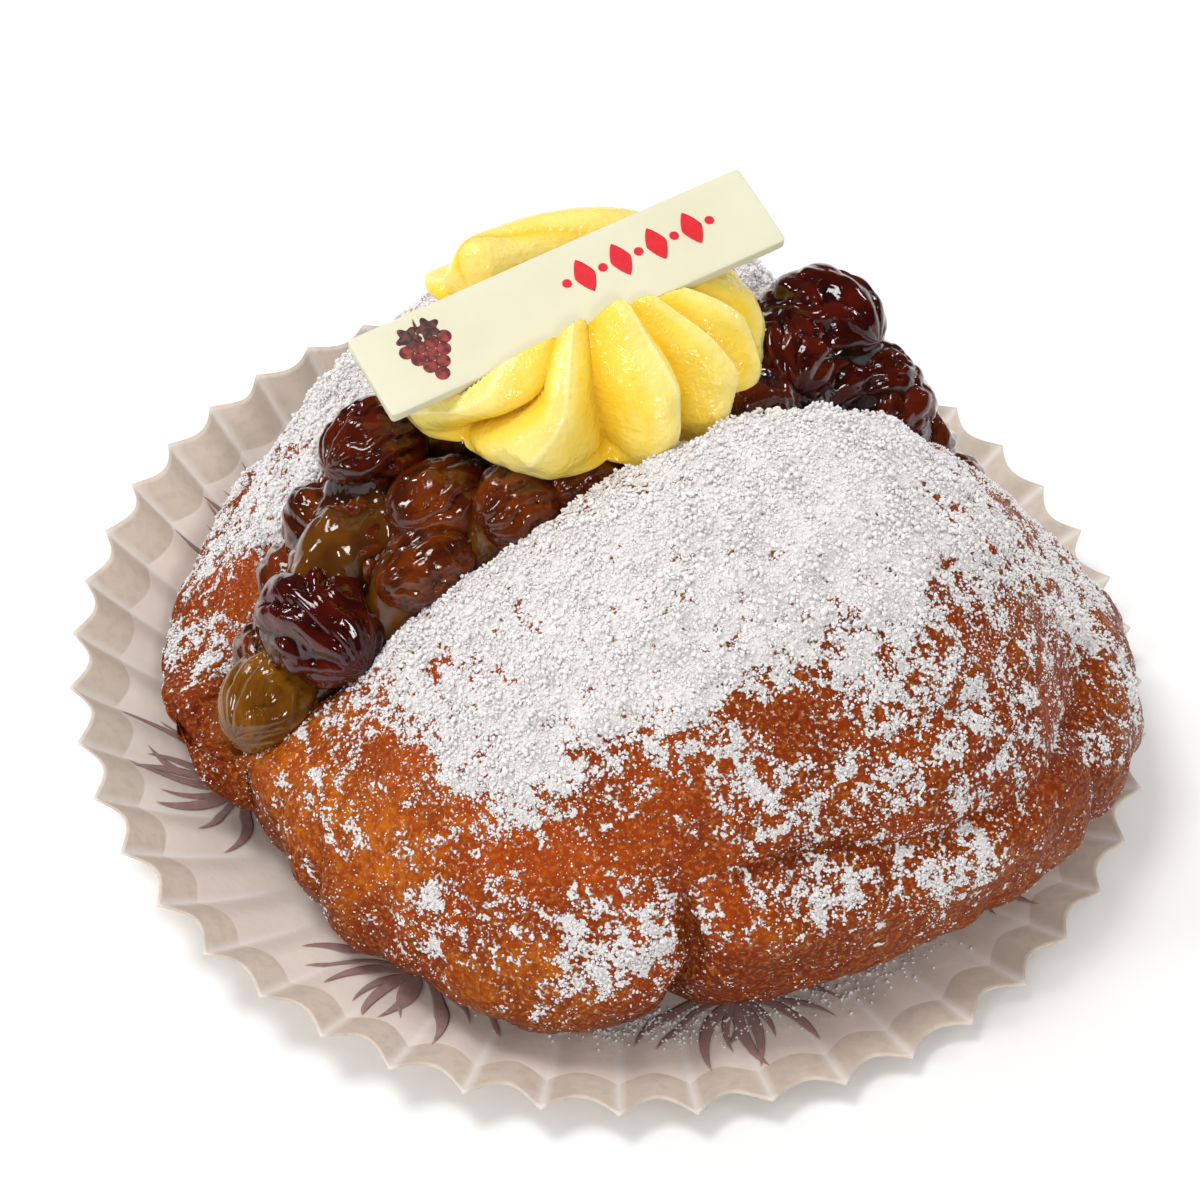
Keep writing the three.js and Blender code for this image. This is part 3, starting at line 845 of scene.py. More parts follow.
def clusters(p):
    """Above 0 where crumbs draw together and below 0 in the branching gaps between.

    It is three octaves of lumps, the first 1.2 mm across, plus a share of the heaps.
    """
    field = sum(lumps(p, 1.2 / 2**k, 57 + k) * 0.8**k for k in range(3))
    return 0.5 * field + 0.3 * (clotting(p) - 0.5)


print(len(PATCHES), "patches of sugar and of bare crust")

# %% Build the crust with its sugar
SUGAR_DEPTH = 0.8

sugar = sugar_thickness(dough, dough_normal)
heaped = smooth(sugar, 0.45, 0.9) * clotting(dough)
dough = dough + dough_normal * (SUGAR_DEPTH * heaped)[..., None]
print("mean thickness of the sugar:", sugar.mean().round(3))

along, upward = dough[..., 0], dough[..., 2]
# Painted shade: the crust is darker low down and towards its right end.
painted_shade_low_and_right = 1 - smooth(upward + 3.0 * lumps(dough, 6.0, 36), 8, 24) + 0.65 * smooth(along, -25, 10)
raised = dough_move + 0.8 * lumps(dough, 10.0, 34) + 0.3 * (1 - smooth(along, -42, -12))
crust_values = {
    "sugar": sugar,
    "clusters": clusters(dough),
    # How deep in a fold each point lies, which sets the painted shade there.
    "fold_light_and_shade": smooth(-dough_move, -0.5, 3.0),
    "cut": dough_cut,
    "low": np.clip(painted_shade_low_and_right, 0, 1),
    "golden": smooth(raised, -0.4, 1.4),
}
bun = skin("dough", dough, crust_values)
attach(bun, "root")
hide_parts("bun")
report(bun)

# %% [markdown]
# ## The crust's finish
#
# The crust is brown, and golden on the swellings. Painted shade makes it darker
# low down and towards its right end, and darkest in its folds. Those come from
# attributes, so they follow the shape, and the mottle breaks them up and adds
# paler pores. Sugar too fine to model lies between the crumbs: pale specks on
# thinly dusted crust, and a film where the two sugar fields and a fine mottle add
# up to enough.
# %% Crust
crust, n, shader = new_finish("crust", Specular_IOR_Level=0.1)
big = n.group(mottle_tree, Size_mm=9.0, Detail=4.0, Cover=0.5, Soft=0.14)
fine = n.group(mottle_tree, Size_mm=1.5, Detail=5.0, Cover=0.5, Soft=0.16)
pores = n.group(mottle_tree, Size_mm=0.55, Detail=3.0, Cover=0.42, Soft=0.1)
brown = n.blend(big.outputs["Mask"], hue("a64002"), hue("842e02"))
golden = n.blend(fine.outputs["Mask"], hue("c06404"), hue("a84a02"))
colour = n.blend(n.ramp(n.value("golden"), 0.2, 1.0, 0.0, 0.8), brown, golden)
colour = n.blend(n.math("MULTIPLY", fine.outputs["Mask"], 0.5), colour, hue("7e2c06"))
# Painted shade low down and towards the right end.
colour = n.blend(n.math("MULTIPLY", n.value("low"), 0.7), colour, hue("5e1a02"))
# Painted shade in the folds.
colour = n.blend(n.ramp(n.value("fold_light_and_shade"), 0.55, 1.0, 0.0, 0.65), colour, hue("5a1e06"))
colour = n.blend(n.math("MULTIPLY", pores.outputs["Mask"], 0.38), colour, hue("c87822"))
specks = n.group(mottle_tree, Size_mm=0.5, Detail=2.0, Cover=0.37, Soft=0.03)
dusted = n.math("MULTIPLY", specks.outputs["Mask"], n.ramp(n.value("sugar"), 0.0, 0.45, 0.1, 0.8))
colour = n.blend(dusted, colour, hue("ead0b8"))
colour = n.blend(n.math("MULTIPLY", n.value("cut"), 0.7), colour, hue("a8601c"))
dust = n.group(mottle_tree, Size_mm=0.5, Detail=6.0)
cover = n.math("ADD", n.value("sugar"), n.ramp(dust.outputs["Height"], 0.3, 0.7, -0.35, 0.35))
cover = n.math("ADD", cover, n.value("clusters"))
film = n.ramp(cover, 0.5, 0.72)
n.put(shader["Base Color"], n.blend(film, colour, hue("e7e2e0")))
wet = n.group(shine_tree, Size_mm=4.0, Dull=0.45, Glossy=0.3)
n.put(shader["Roughness"], n.math("MAXIMUM", wet.outputs["Roughness"], n.math("MULTIPLY", film, 0.9)))
skin_bump = bumped(n, fine.outputs["Height"], 0.9, 0.8)
pore_bump = bumped(n, pores.outputs["Height"], 0.3, 0.8, skin_bump)
powder = n.group(mottle_tree, Size_mm=0.5, Detail=4.0)
powdery = n.math("MULTIPLY", film, powder.outputs["Height"])
n.put(shader["Normal"], bumped(n, powdery, 0.5, 0.8, pore_bump))
bun.data.materials.append(crust)

# %% [markdown]
# ## Crumbs of sugar
#
# Icing sugar that has drawn a little damp clots into crumbs a few tenths of a
# millimetre across, and those pile into clusters. Scattering them with Geometry
# Nodes would need the instances made real at the end, so the crumbs are joined in
# numpy: a small solid is copied to each place with its own turn, stretch and
# size. Places are drawn by lot with the area and the sugar field as the odds, and
# the field of clusters gathers them, with bare pinholes between.
# %% Small solids and crumbs
def small_solid(kind):
    """Corners and faces of an octahedron, with two on each axis, or of an icosahedron.

    The icosahedron's corners are 0, 1 and the golden ratio, with either sign, turned
    round. A face is three corners that are all next to one another.
    """
    if kind == "octahedron":
        points = np.repeat(np.eye(3), 2, axis=0) * np.tile([[1.0], [-1.0]], (3, 1))
    else:
        g = (1 + math.sqrt(5)) / 2
        base = np.array([[0, a, b * g] for a in (1, -1) for b in (1, -1)])
        points = np.concatenate([base, np.roll(base, 1, axis=1), np.roll(base, 2, axis=1)])
    mesh_side = np.sort(np.linalg.norm(points[0] - points, axis=1))[1] * 1.1
    near = np.linalg.norm(points[:, None] - points[None], axis=-1) < mesh_side
    i, j, k = np.meshgrid(*[np.arange(len(points))] * 3, indexing="ij")
    found = (i < j) & (j < k) & near[i, j] & near[j, k] & near[i, k]
    faces = np.argwhere(found)
    a, b, c = points[faces[:, 0]], points[faces[:, 1]], points[faces[:, 2]]
    inward = np.einsum("ij,ij->i", np.cross(b - a, c - a), a) < 0
    faces[inward] = faces[inward][:, ::-1]
    return points / np.linalg.norm(points[0]), faces


print("an icosahedron has", len(small_solid("icosahedron")[1]), "faces")


def random_turns(count, rng):
    """Rotation matrices from random unit quaternions."""
    q = rng.normal(size=(count, 4))
    w, x, y, z = (q / np.linalg.norm(q, axis=1, keepdims=True)).T
    rows = [
        [1 - 2 * (y * y + z * z), 2 * (x * y - z * w), 2 * (x * z + y * w)],
        [2 * (x * y + z * w), 1 - 2 * (x * x + z * z), 2 * (y * z - x * w)],
        [2 * (x * z - y * w), 2 * (y * z + x * w), 1 - 2 * (x * x + y * y)],
    ]
    return np.array(rows).transpose(2, 0, 1)


def crumbs(name, centres, sizes, kind, rng):
    """One piece: a small solid at each centre.

    Every corner is moved in or out by up to three tenths, and the whole is stretched
    by up to a quarter each way and turned.
    """
    points, faces = small_solid(kind)
    count, corners = len(centres), len(points)
    reach = rng.uniform(0.7, 1.3, (count, corners, 1)) * rng.uniform(0.75, 1.25, (count, 1, 3))
    shaped = points[None] * reach * sizes[:, None, None]
    placed = np.einsum("nij,nkj->nki", random_turns(count, rng), shaped) + centres[:, None]
    joined = (faces[None] + corners * np.arange(count)[:, None, None]).reshape(-1, 3)
    side = math.ceil(math.sqrt(count))
    cell = np.stack([np.arange(count) % side, np.arange(count) // side], axis=-1)
    inner = np.array([[0.2, 0.2], [0.8, 0.2], [0.5, 0.8]])
    places = ((cell[:, None] + inner) / side)[:, None].repeat(len(faces), axis=1).reshape(-1, 2)
    shade = np.repeat(rng.uniform(0, 1, count), corners)
    piece = new_piece(name, placed.reshape(-1, 3), [joined], places, {"shade": shade})
    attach(piece, "root")
    return piece


# %% A scatter over the dough
DRAWS = 6


def scatter(odds, kept, count, rng):
    """Places, normals and thicknesses on the dough.

    Cells are drawn with their area times their odds. The rule kept then gives the
    odds that a place stays, and the first ones that do are taken, up to the count.
    """
    after_it = np.roll(dough, -1, axis=1)
    a, b, c, d = dough[:-1], after_it[:-1], after_it[1:], dough[1:]
    area = 0.5 * np.linalg.norm(np.cross(c - a, d - b), axis=-1)
    weight = np.cumsum((area * 0.5 * (odds[:-1] + odds[1:])).ravel())
    drawn = np.searchsorted(weight, rng.uniform(0, weight[-1], DRAWS * count))
    row, column = np.unravel_index(np.minimum(drawn, len(weight) - 1), area.shape)
    after = (column + 1) % dough.shape[1]
    s, t = rng.uniform(size=(2, len(drawn), 1))

    def at(v):
        low = mix(v[row, column], v[row, after], s)
        return mix(low, mix(v[row + 1, column], v[row + 1, after], s), t)

    place, up, thickness = at(dough), at(dough_normal), at(sugar[..., None])[:, 0]
    chosen = np.flatnonzero(rng.uniform(size=len(place)) < kept(place, thickness))[:count]
    return place[chosen], up[chosen], thickness[chosen]


def gathered(place, thickness):
    """A rule for crumbs in clusters: the two fields' sum, switched over a narrow span.

    Thin sugar stays in small branching clusters, and thick sugar keeps only pinholes.
    """
    return smooth(thickness + clusters(place), 0.42, 0.6)


def strewn(place, _thickness):
    """A rule for stray crumbs: soft streaks that cover the whole crust thinly."""
    return smooth(lumps(place, 2.0, 55) + 0.7 * lumps(place, 7.0, 56), -0.5, 0.8)


print(DRAWS, "places are drawn for each crumb that is asked for")

# %% The crumbs on the dough
outside = (1 - dough_cut) * smooth(dough_normal[..., 2], -0.7, 0.0) * smooth(dough[..., 2], 3, 9)
# Name, solid, how many, least and greatest size, odds, rule, how high crumbs pile, seed.
KINDS = [
    ("sugar_lumps", "icosahedron", 9000, 0.15, 0.36, smooth(sugar, 0.5, 0.95), gathered, 0.5, 61),
    ("sugar_crumbs_a", "octahedron", 24000, 0.11, 0.3, smooth(sugar, 0.5, 0.9), gathered, 0.4, 62),
    ("sugar_crumbs_b", "octahedron", 24000, 0.11, 0.29, hill(sugar, 0.5, 0.2), gathered, 0.3, 63),
    ("sugar_crumbs_c", "octahedron", 24000, 0.08, 0.2, outside * (0.3 + sugar), strewn, 0.1, 64),
]
sugar_pieces = []
for name, kind, count, least, greatest, odds, kept, pile, seed in KINDS:
    rng = np.random.default_rng(seed)
    place, up, thickness = scatter(odds, kept, count, rng)
    sizes = mix(least, greatest, rng.power(0.7, len(place))) * mix(0.8, 1.0, thickness)
    lift = sizes * rng.uniform(-0.1, 0.5, len(place))
    lift = lift + pile * thickness * clotting(place) * rng.uniform(0, 1, len(place))
    sugar_pieces.append(crumbs(name, place + up * lift[:, None], sizes, kind, rng))
    report(sugar_pieces[-1])

# %% Sugar spilled on the paper
# Degrees round the case, reach, how far the spill spreads, and how many crumbs it has.
SPILLS = [
    (-113, 49.5, 3.5, 380), (-103, 51.0, 4.0, 140), (-84, 50.5, 4.5, 260),
    (-72, 52.0, 4.0, 90), (150, 52.0, 4.0, 70),
]


def spilled():
    """Crumbs on the paper, in heaps drawn out round the case that thin out from their middle."""
    rng = np.random.default_rng(70)
    made = []
    for degrees, reach, spread, count in SPILLS:
        aside, out = rng.normal(size=(2, count)) * [[spread * 1.5], [spread * 0.45]]
        angle = math.radians(degrees) + aside / reach
        made.append(paper_point(angle, np.maximum(reach + out, 40.0), CASE["paper"] + 0.1))
    place = np.concatenate(made)
    sizes = mix(0.09, 0.3, rng.power(0.6, len(place)))
    return crumbs("sugar_spilled", place + [0, 0, 0.05], sizes, "octahedron", rng)


sugar_pieces.append(spilled())
report(sugar_pieces[-1])

# %% Sugar
powder_white, n, shader = new_finish("icing_sugar", Roughness=0.9, Subsurface_Weight=0.7)
n.put(shader["Subsurface Radius"], (0.0009, 0.0009, 0.0009))
n.put(shader["Specular IOR Level"], 0.3)
cloud = n.group(mottle_tree, Size_mm=5.0, Detail=3.0, Cover=0.5, Soft=0.2)
shade = n.math("MULTIPLY", n.value("shade"), 0.6)
shade = n.math("ADD", shade, n.math("MULTIPLY", cloud.outputs["Mask"], 0.4))
n.put(shader["Base Color"], n.blend(shade, hue("e9e6e5"), hue("f3f0ef")))
powder = n.group(mottle_tree, Size_mm=0.3, Detail=3.0)
n.put(shader["Normal"], bumped(n, powder.outputs["Height"], 0.2, 0.8))
for piece in sugar_pieces:
    piece.data.materials.append(powder_white)

# %% [markdown]
# ## Raisins
#
# Soaked raisins fill the cut. Fifteen stand out of the jelly and are nodes of the
# frame, so this table repeats the frame's sizes for them. More lie deeper, drawn
# by lot where none is near yet, so that no gap shows the dough behind. A raisin
# is a bent egg whose skin has shrunk into long wrinkles. Displacing a sphere with
# a texture modifier would do it too, but here the same field also tells the
# finish where the valleys are.
# %% Where the raisins lie
# Place along and across the cut and above the table, length, turn in degrees, tint
# from 0 dark to 1 amber, and how far the jelly's film lies above the skin.
STANDING = [
    (-25.2, 11.5, 43, 13.5, 20, 0.15, -1.3), (-19.9, 2.4, 40, 14, 25, 0.5, -1.4),
    (-36, -0.5, 29.5, 16, -75, 0.0, -1.3), (-42.3, -0.8, 20.8, 15.5, 30, 1.0, 0.1),
    (-29.8, 5, 35, 14, 5, 0.45, 0.5), (-24, -3, 36, 13, 10, 0.5, 0.5),
    (-12.3, -2.8, 41.5, 13, 15, 0.5, -0.2), (-4.2, -3.6, 43, 12.5, 20, 0.55, -0.1),
    (-31.8, 10.8, 33, 12.5, 70, 0.5, 0.5), (30.5, 9.5, 44.8, 16, -56, 0.0, -1.6),
    (24, 5, 46, 12.5, 75, 0.1, -1.4), (36.2, 0.8, 36.4, 12, 50, 0.15, 0.2),
    (34.4, 3.6, 39.2, 12, -20, 0.1, 0.2), (16, -2.5, 45.5, 12, 5, 0.25, -0.3),
    (29.8, 3.7, 41, 11, 10, 0.0, -0.3),
]
RAISIN_WIDTH = 0.4
STANDING_NODES = [f"raisin_{k + 1:02d}" for k in range(len(STANDING))]


def jelly_level(x, y):
    """A millimetre below the front crest, sinking to the back one, with a bell at the heap."""
    line, _, back_lip = cut_at(x)
    share = mix(1.0, back_share(x), smooth(y, line, back_lip + 1))
    return crest_height(x) * share - 1.0 + 5.0 * hill(x, -25, 9) * hill(y, 11, 8)


# Raisins under the jelly at the cut's left end, then at its right, which carry it out
# to the dough: place, length and turn.
BESIDE = [
    (-35.5, 8.0, 28.0, 12.5, 60), (-41.0, 4.8, 21.5, 11.0, 70),
    (-27.5, 13.0, 34.0, 11.0, 40), (-33.5, 3.5, 33.0, 12.0, 55),
    (40.6, 1.6, 28.7, 12.0, 75), (43.6, -1.8, 23.5, 10.5, 20),
    (38.5, 5.6, 29.5, 11.5, 40), (42.0, 3.0, 25.0, 10.0, 60),
]


def sunken_raisins(count, apart):
    """Those beside, then more at random in the cut, until there are as many as the count.

    No random one lies nearer to another than apart, and its top is about at the
    jelly's level.
    """
    rng = np.random.default_rng(80)
    found = []
    taken = [np.array(row[:2]) for row in STANDING]
    for x, y, z, length, turn in BESIDE:
        taken.append(np.array((x, y)))
        found.append((x, y, z, length, turn, 0.4, 0.3))
    while len(found) < count:
        x = rng.uniform(-41, 41)
        _, front_lip, back_lip = cut_at(np.array([x]))
        y = rng.uniform(front_lip[0] + 3, back_lip[0] - 4)
        if min(np.hypot(*(place - (x, y))) for place in taken) > apart:
            taken.append(np.array((x, y)))
            length = rng.uniform(9, 13)
            z = jelly_level(x, y) + rng.uniform(-0.6, 1.0) - length * RAISIN_WIDTH
            found.append((x, y, z, length, rng.uniform(0, 180), rng.uniform(0.2, 0.6), 0.3))
    return found


SUNKEN = sunken_raisins(19, 5.6)
print(len(STANDING), "raisins stand out and", len(SUNKEN), "lie deeper")


# %% One raisin
def raisin_grid(row, seed, rows, columns):
    """A bent egg, half the length times s along and the width times sqrt(1 - s^2) round.

    s goes from -1 to 1. The egg is scaled by lumps, by |sin| of an angle round it
    that drifts, which makes lengthwise wrinkles, and by short creases.
    """
    x, y, z, length, turn, tint, _ = row
    rng = np.random.default_rng(seed)
    v, u = unit_grid(rows, columns)
    s, phi = -np.cos(np.pi * v) + 0 * u, 2 * np.pi * u + 0 * v
    c = power(1 - s**2, 0.5)
    unit = np.stack([s, c * np.cos(phi), c * np.sin(phi)], axis=-1)
    drift = rng.uniform(0, 20, 3)
    warped = unit + 0.25 * lumps(unit * 1.6 + drift, 1.0, seed)[..., None] + drift
    wander = lumps(unit * 1.3 + drift, 1.0, seed + 1)
    wander = wander + 0.5 * lumps(unit * 2.6 + drift, 1.0, seed + 4)
    folded = rng.integers(4, 7) * phi + 2.6 * wander + rng.uniform(-1, 1) * s
    folds = np.abs(np.sin(folded)) ** 0.7
    creases = creased(warped * [1.8, 3.6, 3.6], 1.0, seed + 2) ** 0.7
    plump = 1 + 0.16 * lumps(unit * 0.9 + drift, 1.0, seed + 3)
    depth = rng.uniform(0.15, 0.19) * mix(1.0, 0.6, smooth(tint, 0.1, 0.6))
    scale = plump + depth * c * (folds - 0.6) + 0.09 * c * (creases - 0.45)
    half, width = length / 2, length * RAISIN_WIDTH
    egg = 1 + rng.uniform(-0.2, 0.2) * s
    local = np.stack([
        s * half * mix(1.0, scale, 0.5),
        width * unit[..., 1] * scale * egg,
        width * unit[..., 2] * scale * egg - 0.05 * length * s**2,
    ], axis=-1)
    turned = turn_about("z", math.radians(turn)) @ turn_about("y", rng.uniform(-0.2, 0.2))
    # Where the folds and creases run deep, for painted shade in the raisin's valleys.
    valley = c * smooth(folds, 0.5, 0.1) * mix(1.0, 0.5, tint) + 0.3 * smooth(creases, 0.25, 0.0)
    values = {"tint": np.full(s.shape, tint), "valley": np.clip(valley, 0, 1), "grain": warped}
    return local @ turned.T + [x, y, z], values


def raisin_piece(name, rows, seed, fineness):
    """Raisins joined as one piece, each with this many rows and columns."""
    made = [raisin_grid(row, seed + 7 * k, *fineness) for k, row in enumerate(rows)]
    piece = skin(name, [grid for grid, _ in made], [values for _, values in made])
    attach(piece, "root")
    report(piece)
    return piece


raisin_rows = STANDING + SUNKEN
raisins = raisin_piece("raisins", STANDING, 100, (84, 72))
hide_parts(*STANDING_NODES)
sunk = raisin_piece("raisins_below", SUNKEN, 300, (60, 48))

# %% [markdown]
# ## The jelly
#
# Rum jelly runs over the raisins and hangs between them like wet cloth. Metaballs
# would melt the shapes together, yet their resolution is hard to hold. A height
# over the plan does the same: each raisin is a dome, the domes are joined by the
# logarithm of the sum of their exponentials, which rounds every meeting, and the
# raisins that stand out push through it. Near the lips it slopes to the dough.
# %% The jelly's height
# MEET is how widely two domes melt together, in millimetres.
MEET, FLOOR_TINT = 1.3, 0.05
FLOW = turn_about("z", math.radians(25))
STRETCH = [0.4, 1.0, 1.0]


def domes(x, y):
    """For each raisin the height of its dome over a place.

    It is the raisin's middle plus a half ellipse, and falls off steeply outside.
    """
    heights = []
    for rx, ry, rz, length, turn, _, film in raisin_rows:
        angle, width = math.radians(turn), length * RAISIN_WIDTH
        along = (x - rx) * math.cos(angle) + (y - ry) * math.sin(angle)
        across = (y - ry) * math.cos(angle) - (x - rx) * math.sin(angle)
        q = np.sqrt((along / (length * 0.52)) ** 2 + (across / width) ** 2)
        top = power(1 - np.minimum(q, 1) ** 2, 0.5) - 2.4 * np.maximum(q - 0.97, 0)
        heights.append(rz + width * top + film)
    return np.array(heights)


def jelly_surface(x, y):
    """The jelly's height, how amber it is by the raisins' shares, darkened as painted shade in the
    valleys between its strands, and its height above its level.

    A slope from the lips caps it: the less of the two heights, less the logarithm of
    1 + e to minus their difference, which rounds the edge where they meet. Strands
    and wrinkles drawn out along the flow lie on it.
    """
    _, front_lip, back_lip = cut_at(x)
    across = y + lean(x)
    inside = np.minimum(across - front_lip, back_lip - across)
    level = jelly_level(x, across)
    floor = level - mix(2.5, 6.5, smooth(inside, 0.5, 6.0)) - 4.0 * smooth(x, 36, 42)
    layers = np.concatenate([domes(x, y), floor[None]])
    share = np.exp((layers - layers.max(axis=0)) / MEET)
    height = layers.max(axis=0) + MEET * np.log(share.sum(axis=0))
    slope = level + 0.5 + 2.0 * np.maximum(inside, 0)
    height = np.minimum(height, slope) - np.log1p(np.exp(-np.abs(height - slope)))
    tints = np.array([tint for *_, tint, _ in raisin_rows] + [FLOOR_TINT])
    amber = np.tensordot(tints, share, axes=1) / share.sum(axis=0)
    p = np.stack([x, y, 0 * x], axis=-1)
    p = p + 1.8 * lumps(p, 6.0, 92)[..., None]
    strands = creased((p @ FLOW) * STRETCH, 3.6, 91) ** 0.7
    wrinkles = creased((p @ FLOW) * STRETCH, 1.5, 93) ** 0.7
    calm = smooth(inside, -1.0, 4.0)
    height = height - 0.4 * MEET + calm * (1.7 * (strands - 0.5) + 0.45 * (wrinkles - 0.5))
    # Amber is lowered in the valleys between strands as painted shade, and raised on their tops.
    return height, amber * mix(0.3, 1.3, strands), height - level


print("the jelly joins", len(raisin_rows), "domes")

# %% Build the jelly
JELLY_START, JELLY_END = -48.5, 46.0


def jelly_grid(rows, columns):
    """A loaf over the cut.

    The top half of each section follows the jelly's height, and the lower half lies
    deep in the dough.
    """
    v, u = unit_grid(rows, columns)
    along = -np.cos(np.pi * v)
    x = mix(JELLY_START, JELLY_END, (along + 1) / 2) + 0 * u
    _, front_lip, back_lip = cut_at(x)
    angle = 2 * np.pi * u
    half = ((back_lip - front_lip) / 2 + 1.6) * roundness(along, 5)
    y = (front_lip + back_lip) / 2 + half * np.cos(angle) - lean(x)
    height, amber, above = jelly_surface(x, y)
    bottom = mix(PAPER_TOP, crest_height(x), 0.5)
    edge = power(np.abs(np.sin(angle)), 0.22) * roundness(along, 6)
    top = mix(bottom, height, edge)
    z = np.where(np.sin(angle) > 0, top, mix(bottom, bottom - 6, edge))
    return np.stack([x, y, z], axis=-1), {"tint": amber, "above": above}


jelly_points, jelly_values = jelly_grid(230, 300)
jelly = skin("jelly", jelly_points, jelly_values)
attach(jelly, "root")
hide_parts("raisin_filling")
report(jelly)

# %% [markdown]
# ## Raisin skin and jelly
#
# Both are wet, so both have a clear coat, and the wet film's ripples break the
# lamps' reflections into streaks. The raisins are red brown on their backs, and
# the paler kinds amber, with painted shade that takes them nearly to black in
# their valleys and a little darker along fine wrinkles. The jelly is amber where
# it lies thin over a pale raisin, and dark where it lies deep and low: partly its
# depth, and partly painted shade in the gaps between the raisins and in the
# valleys between its strands. Real transmission would show the dough, so the depth
# is painted instead, from the two attributes.
# %% Raisin skin
WET_COAT = dict(Specular_IOR_Level=0.2, Coat_Weight=1.0, Coat_Roughness=0.02, Coat_IOR=1.45)

raisin_skin, n, shader = new_finish("raisin_skin", **WET_COAT)
grain = n.add("ShaderNodeAttribute", attribute_name="grain").outputs["Vector"]
streaks = n.ramp(n.noise(n.scaled(grain, (0.9, 1.8, 1.8)), 1.0, 3.0, Distortion=0.6), 0.3, 0.7)
wrinkle = n.noise(n.scaled(grain, (3.0, 9.0, 9.0)), 1.0, 2.0)
wrinkle = n.ramp(n.math("ABSOLUTE", n.math("SUBTRACT", wrinkle, 0.5)), 0.0, 0.14)
dark = n.blend(streaks, hue("280302"), hue("501005"))
ruddy = n.blend(streaks, hue("401403"), hue("723008"))
gold = n.blend(streaks, hue("5c3407"), hue("86540f"))
back = n.blend(n.ramp(n.value("tint"), 0.0, 0.5), dark, ruddy)
back = n.blend(n.ramp(n.value("tint"), 0.55, 1.0), back, gold)
# Painted shade along the fine wrinkles.
back = n.blend(n.math("MULTIPLY", n.math("SUBTRACT", 1.0, wrinkle), 0.1), back, hue("280703"))
# Painted shade, nearly black, in the valleys.
n.put(shader["Base Color"], n.blend(n.ramp(n.value("valley"), 0.1, 1.0, 0.0, 0.9), back, hue("130302")))
wet = n.group(wet_tree, Big_mm=3.0, Small_mm=0.9, Normal=bumped(n, wrinkle, 0.06, 0.35))
n.put(shader["Roughness"], wet.outputs["Roughness"])
n.put(shader["Normal"], wet.outputs["Normal"])
for piece in (raisins, sunk):
    piece.data.materials.append(raisin_skin)

# %% Rum jelly
rum_jelly, n, shader = new_finish("rum_jelly", **WET_COAT)
spots = n.group(mottle_tree, Size_mm=4.5, Detail=4.0, Cover=0.5, Soft=0.2)
thin = n.blend(spots.outputs["Mask"], hue("7c4a10"), hue("542808"))
deep = n.blend(spots.outputs["Mask"], hue("260f05"), hue("100302"))
# Low places go to the deep colour: partly the jelly's depth, partly painted shade in the gaps between
# raisins.
amber = n.math("MULTIPLY", n.value("tint"), n.ramp(n.value("above"), -4.5, 0.5))
n.put(shader["Base Color"], n.blend(n.math("MULTIPLY", amber, 1.3, clamp=True), deep, thin))
smooth_skin = n.add("ShaderNodeNewGeometry").outputs["Normal"]
wet = n.group(wet_tree, Big_mm=3.2, Small_mm=1.1, Normal=smooth_skin)
n.put(shader["Roughness"], wet.outputs["Roughness"])
n.put(shader["Normal"], wet.outputs["Normal"])
jelly.data.materials.append(rum_jelly)

# %% [markdown]
# ## Where the plaque lies
#
# The plaque comes before the cream, because it was pressed into it: the cream's
# top needs to know where the plaque is. The frame says how it leans: rolled about
# its length, pitched up at one end and turned a little.
# %% The plaque's place
PLAQUE = dict(length=50.0, width=11.0, thickness=1.6)
PLAQUE_CENTRE = np.array([-1.5, 9.2, 59.4])
ROLL, PITCH, YAW = (math.radians(degrees) for degrees in (18, 7.1, 5.3))
# It rolls about x, its +x end pitches up about y, then it yaws about z.
PLAQUE_TURN = turn_about("z", YAW) @ turn_about("y", -PITCH) @ turn_about("x", ROLL)


def on_plaque(local):
    """From the plaque's own frame to the bun's."""
    return local @ PLAQUE_TURN.T + PLAQUE_CENTRE


def off_plaque(place):
    """From the bun's frame to the plaque's own."""
    return (place - PLAQUE_CENTRE) @ PLAQUE_TURN


plaque_corner = -0.5 * np.array([PLAQUE["length"], PLAQUE["width"], PLAQUE["thickness"]])
print("plaque's low corner at", on_plaque(plaque_corner).round(1))

# %% [markdown]
# ## Custard cream
#
# The cream is piped through a star tip, which leaves thick lobes with narrow
# valleys between them and a fine crest on each where a tooth of the tip passed.
# The baker's hand started at the left, so the lobes there are wide and sweep
# round, and those at the right stand straight. A star swept along a spiral would
# make them all alike. Here each valley has its own angle at the foot and at the
# top, and the lobes are what lies between two valleys. A second, smaller rope
# laid behind is the end that the tip left.
# %% The rosette
CREAM_X, CREAM_Y, CREAM_BASE = 0.6, 10.6, 46.5
CREAM_RADIUS, CREAM_HEIGHT, LOBE_DEPTH = 21.0, 13.5, 0.27
# How far out and how high the cream goes, as shares of its radius and height.
ROSETTE = [
    (0, 0.02), (0.5, -0.04), (0.84, -0.04), (0.98, 0.1), (1.02, 0.3), (0.98, 0.52),
    (0.9, 0.72), (0.76, 0.88), (0.56, 0.98), (0.28, 1.03), (0, 1.04),
]
# Valleys between lobes: degrees round the rosette at its foot, then at its top, then
# where the next lobe has its ridge.
VALLEYS = [
    (155, 190, 0.5), (203, 232, 0.42), (256, 252, 0.72), (280, 288, 0.72),
    (301, 312, 0.68), (320, 334, 0.6), (342, 357, 0.58), (367, 380, 0.58),
    (395, 407, 0.58), (425, 437, 0.58), (457, 470, 0.58), (488, 505, 0.58),
]


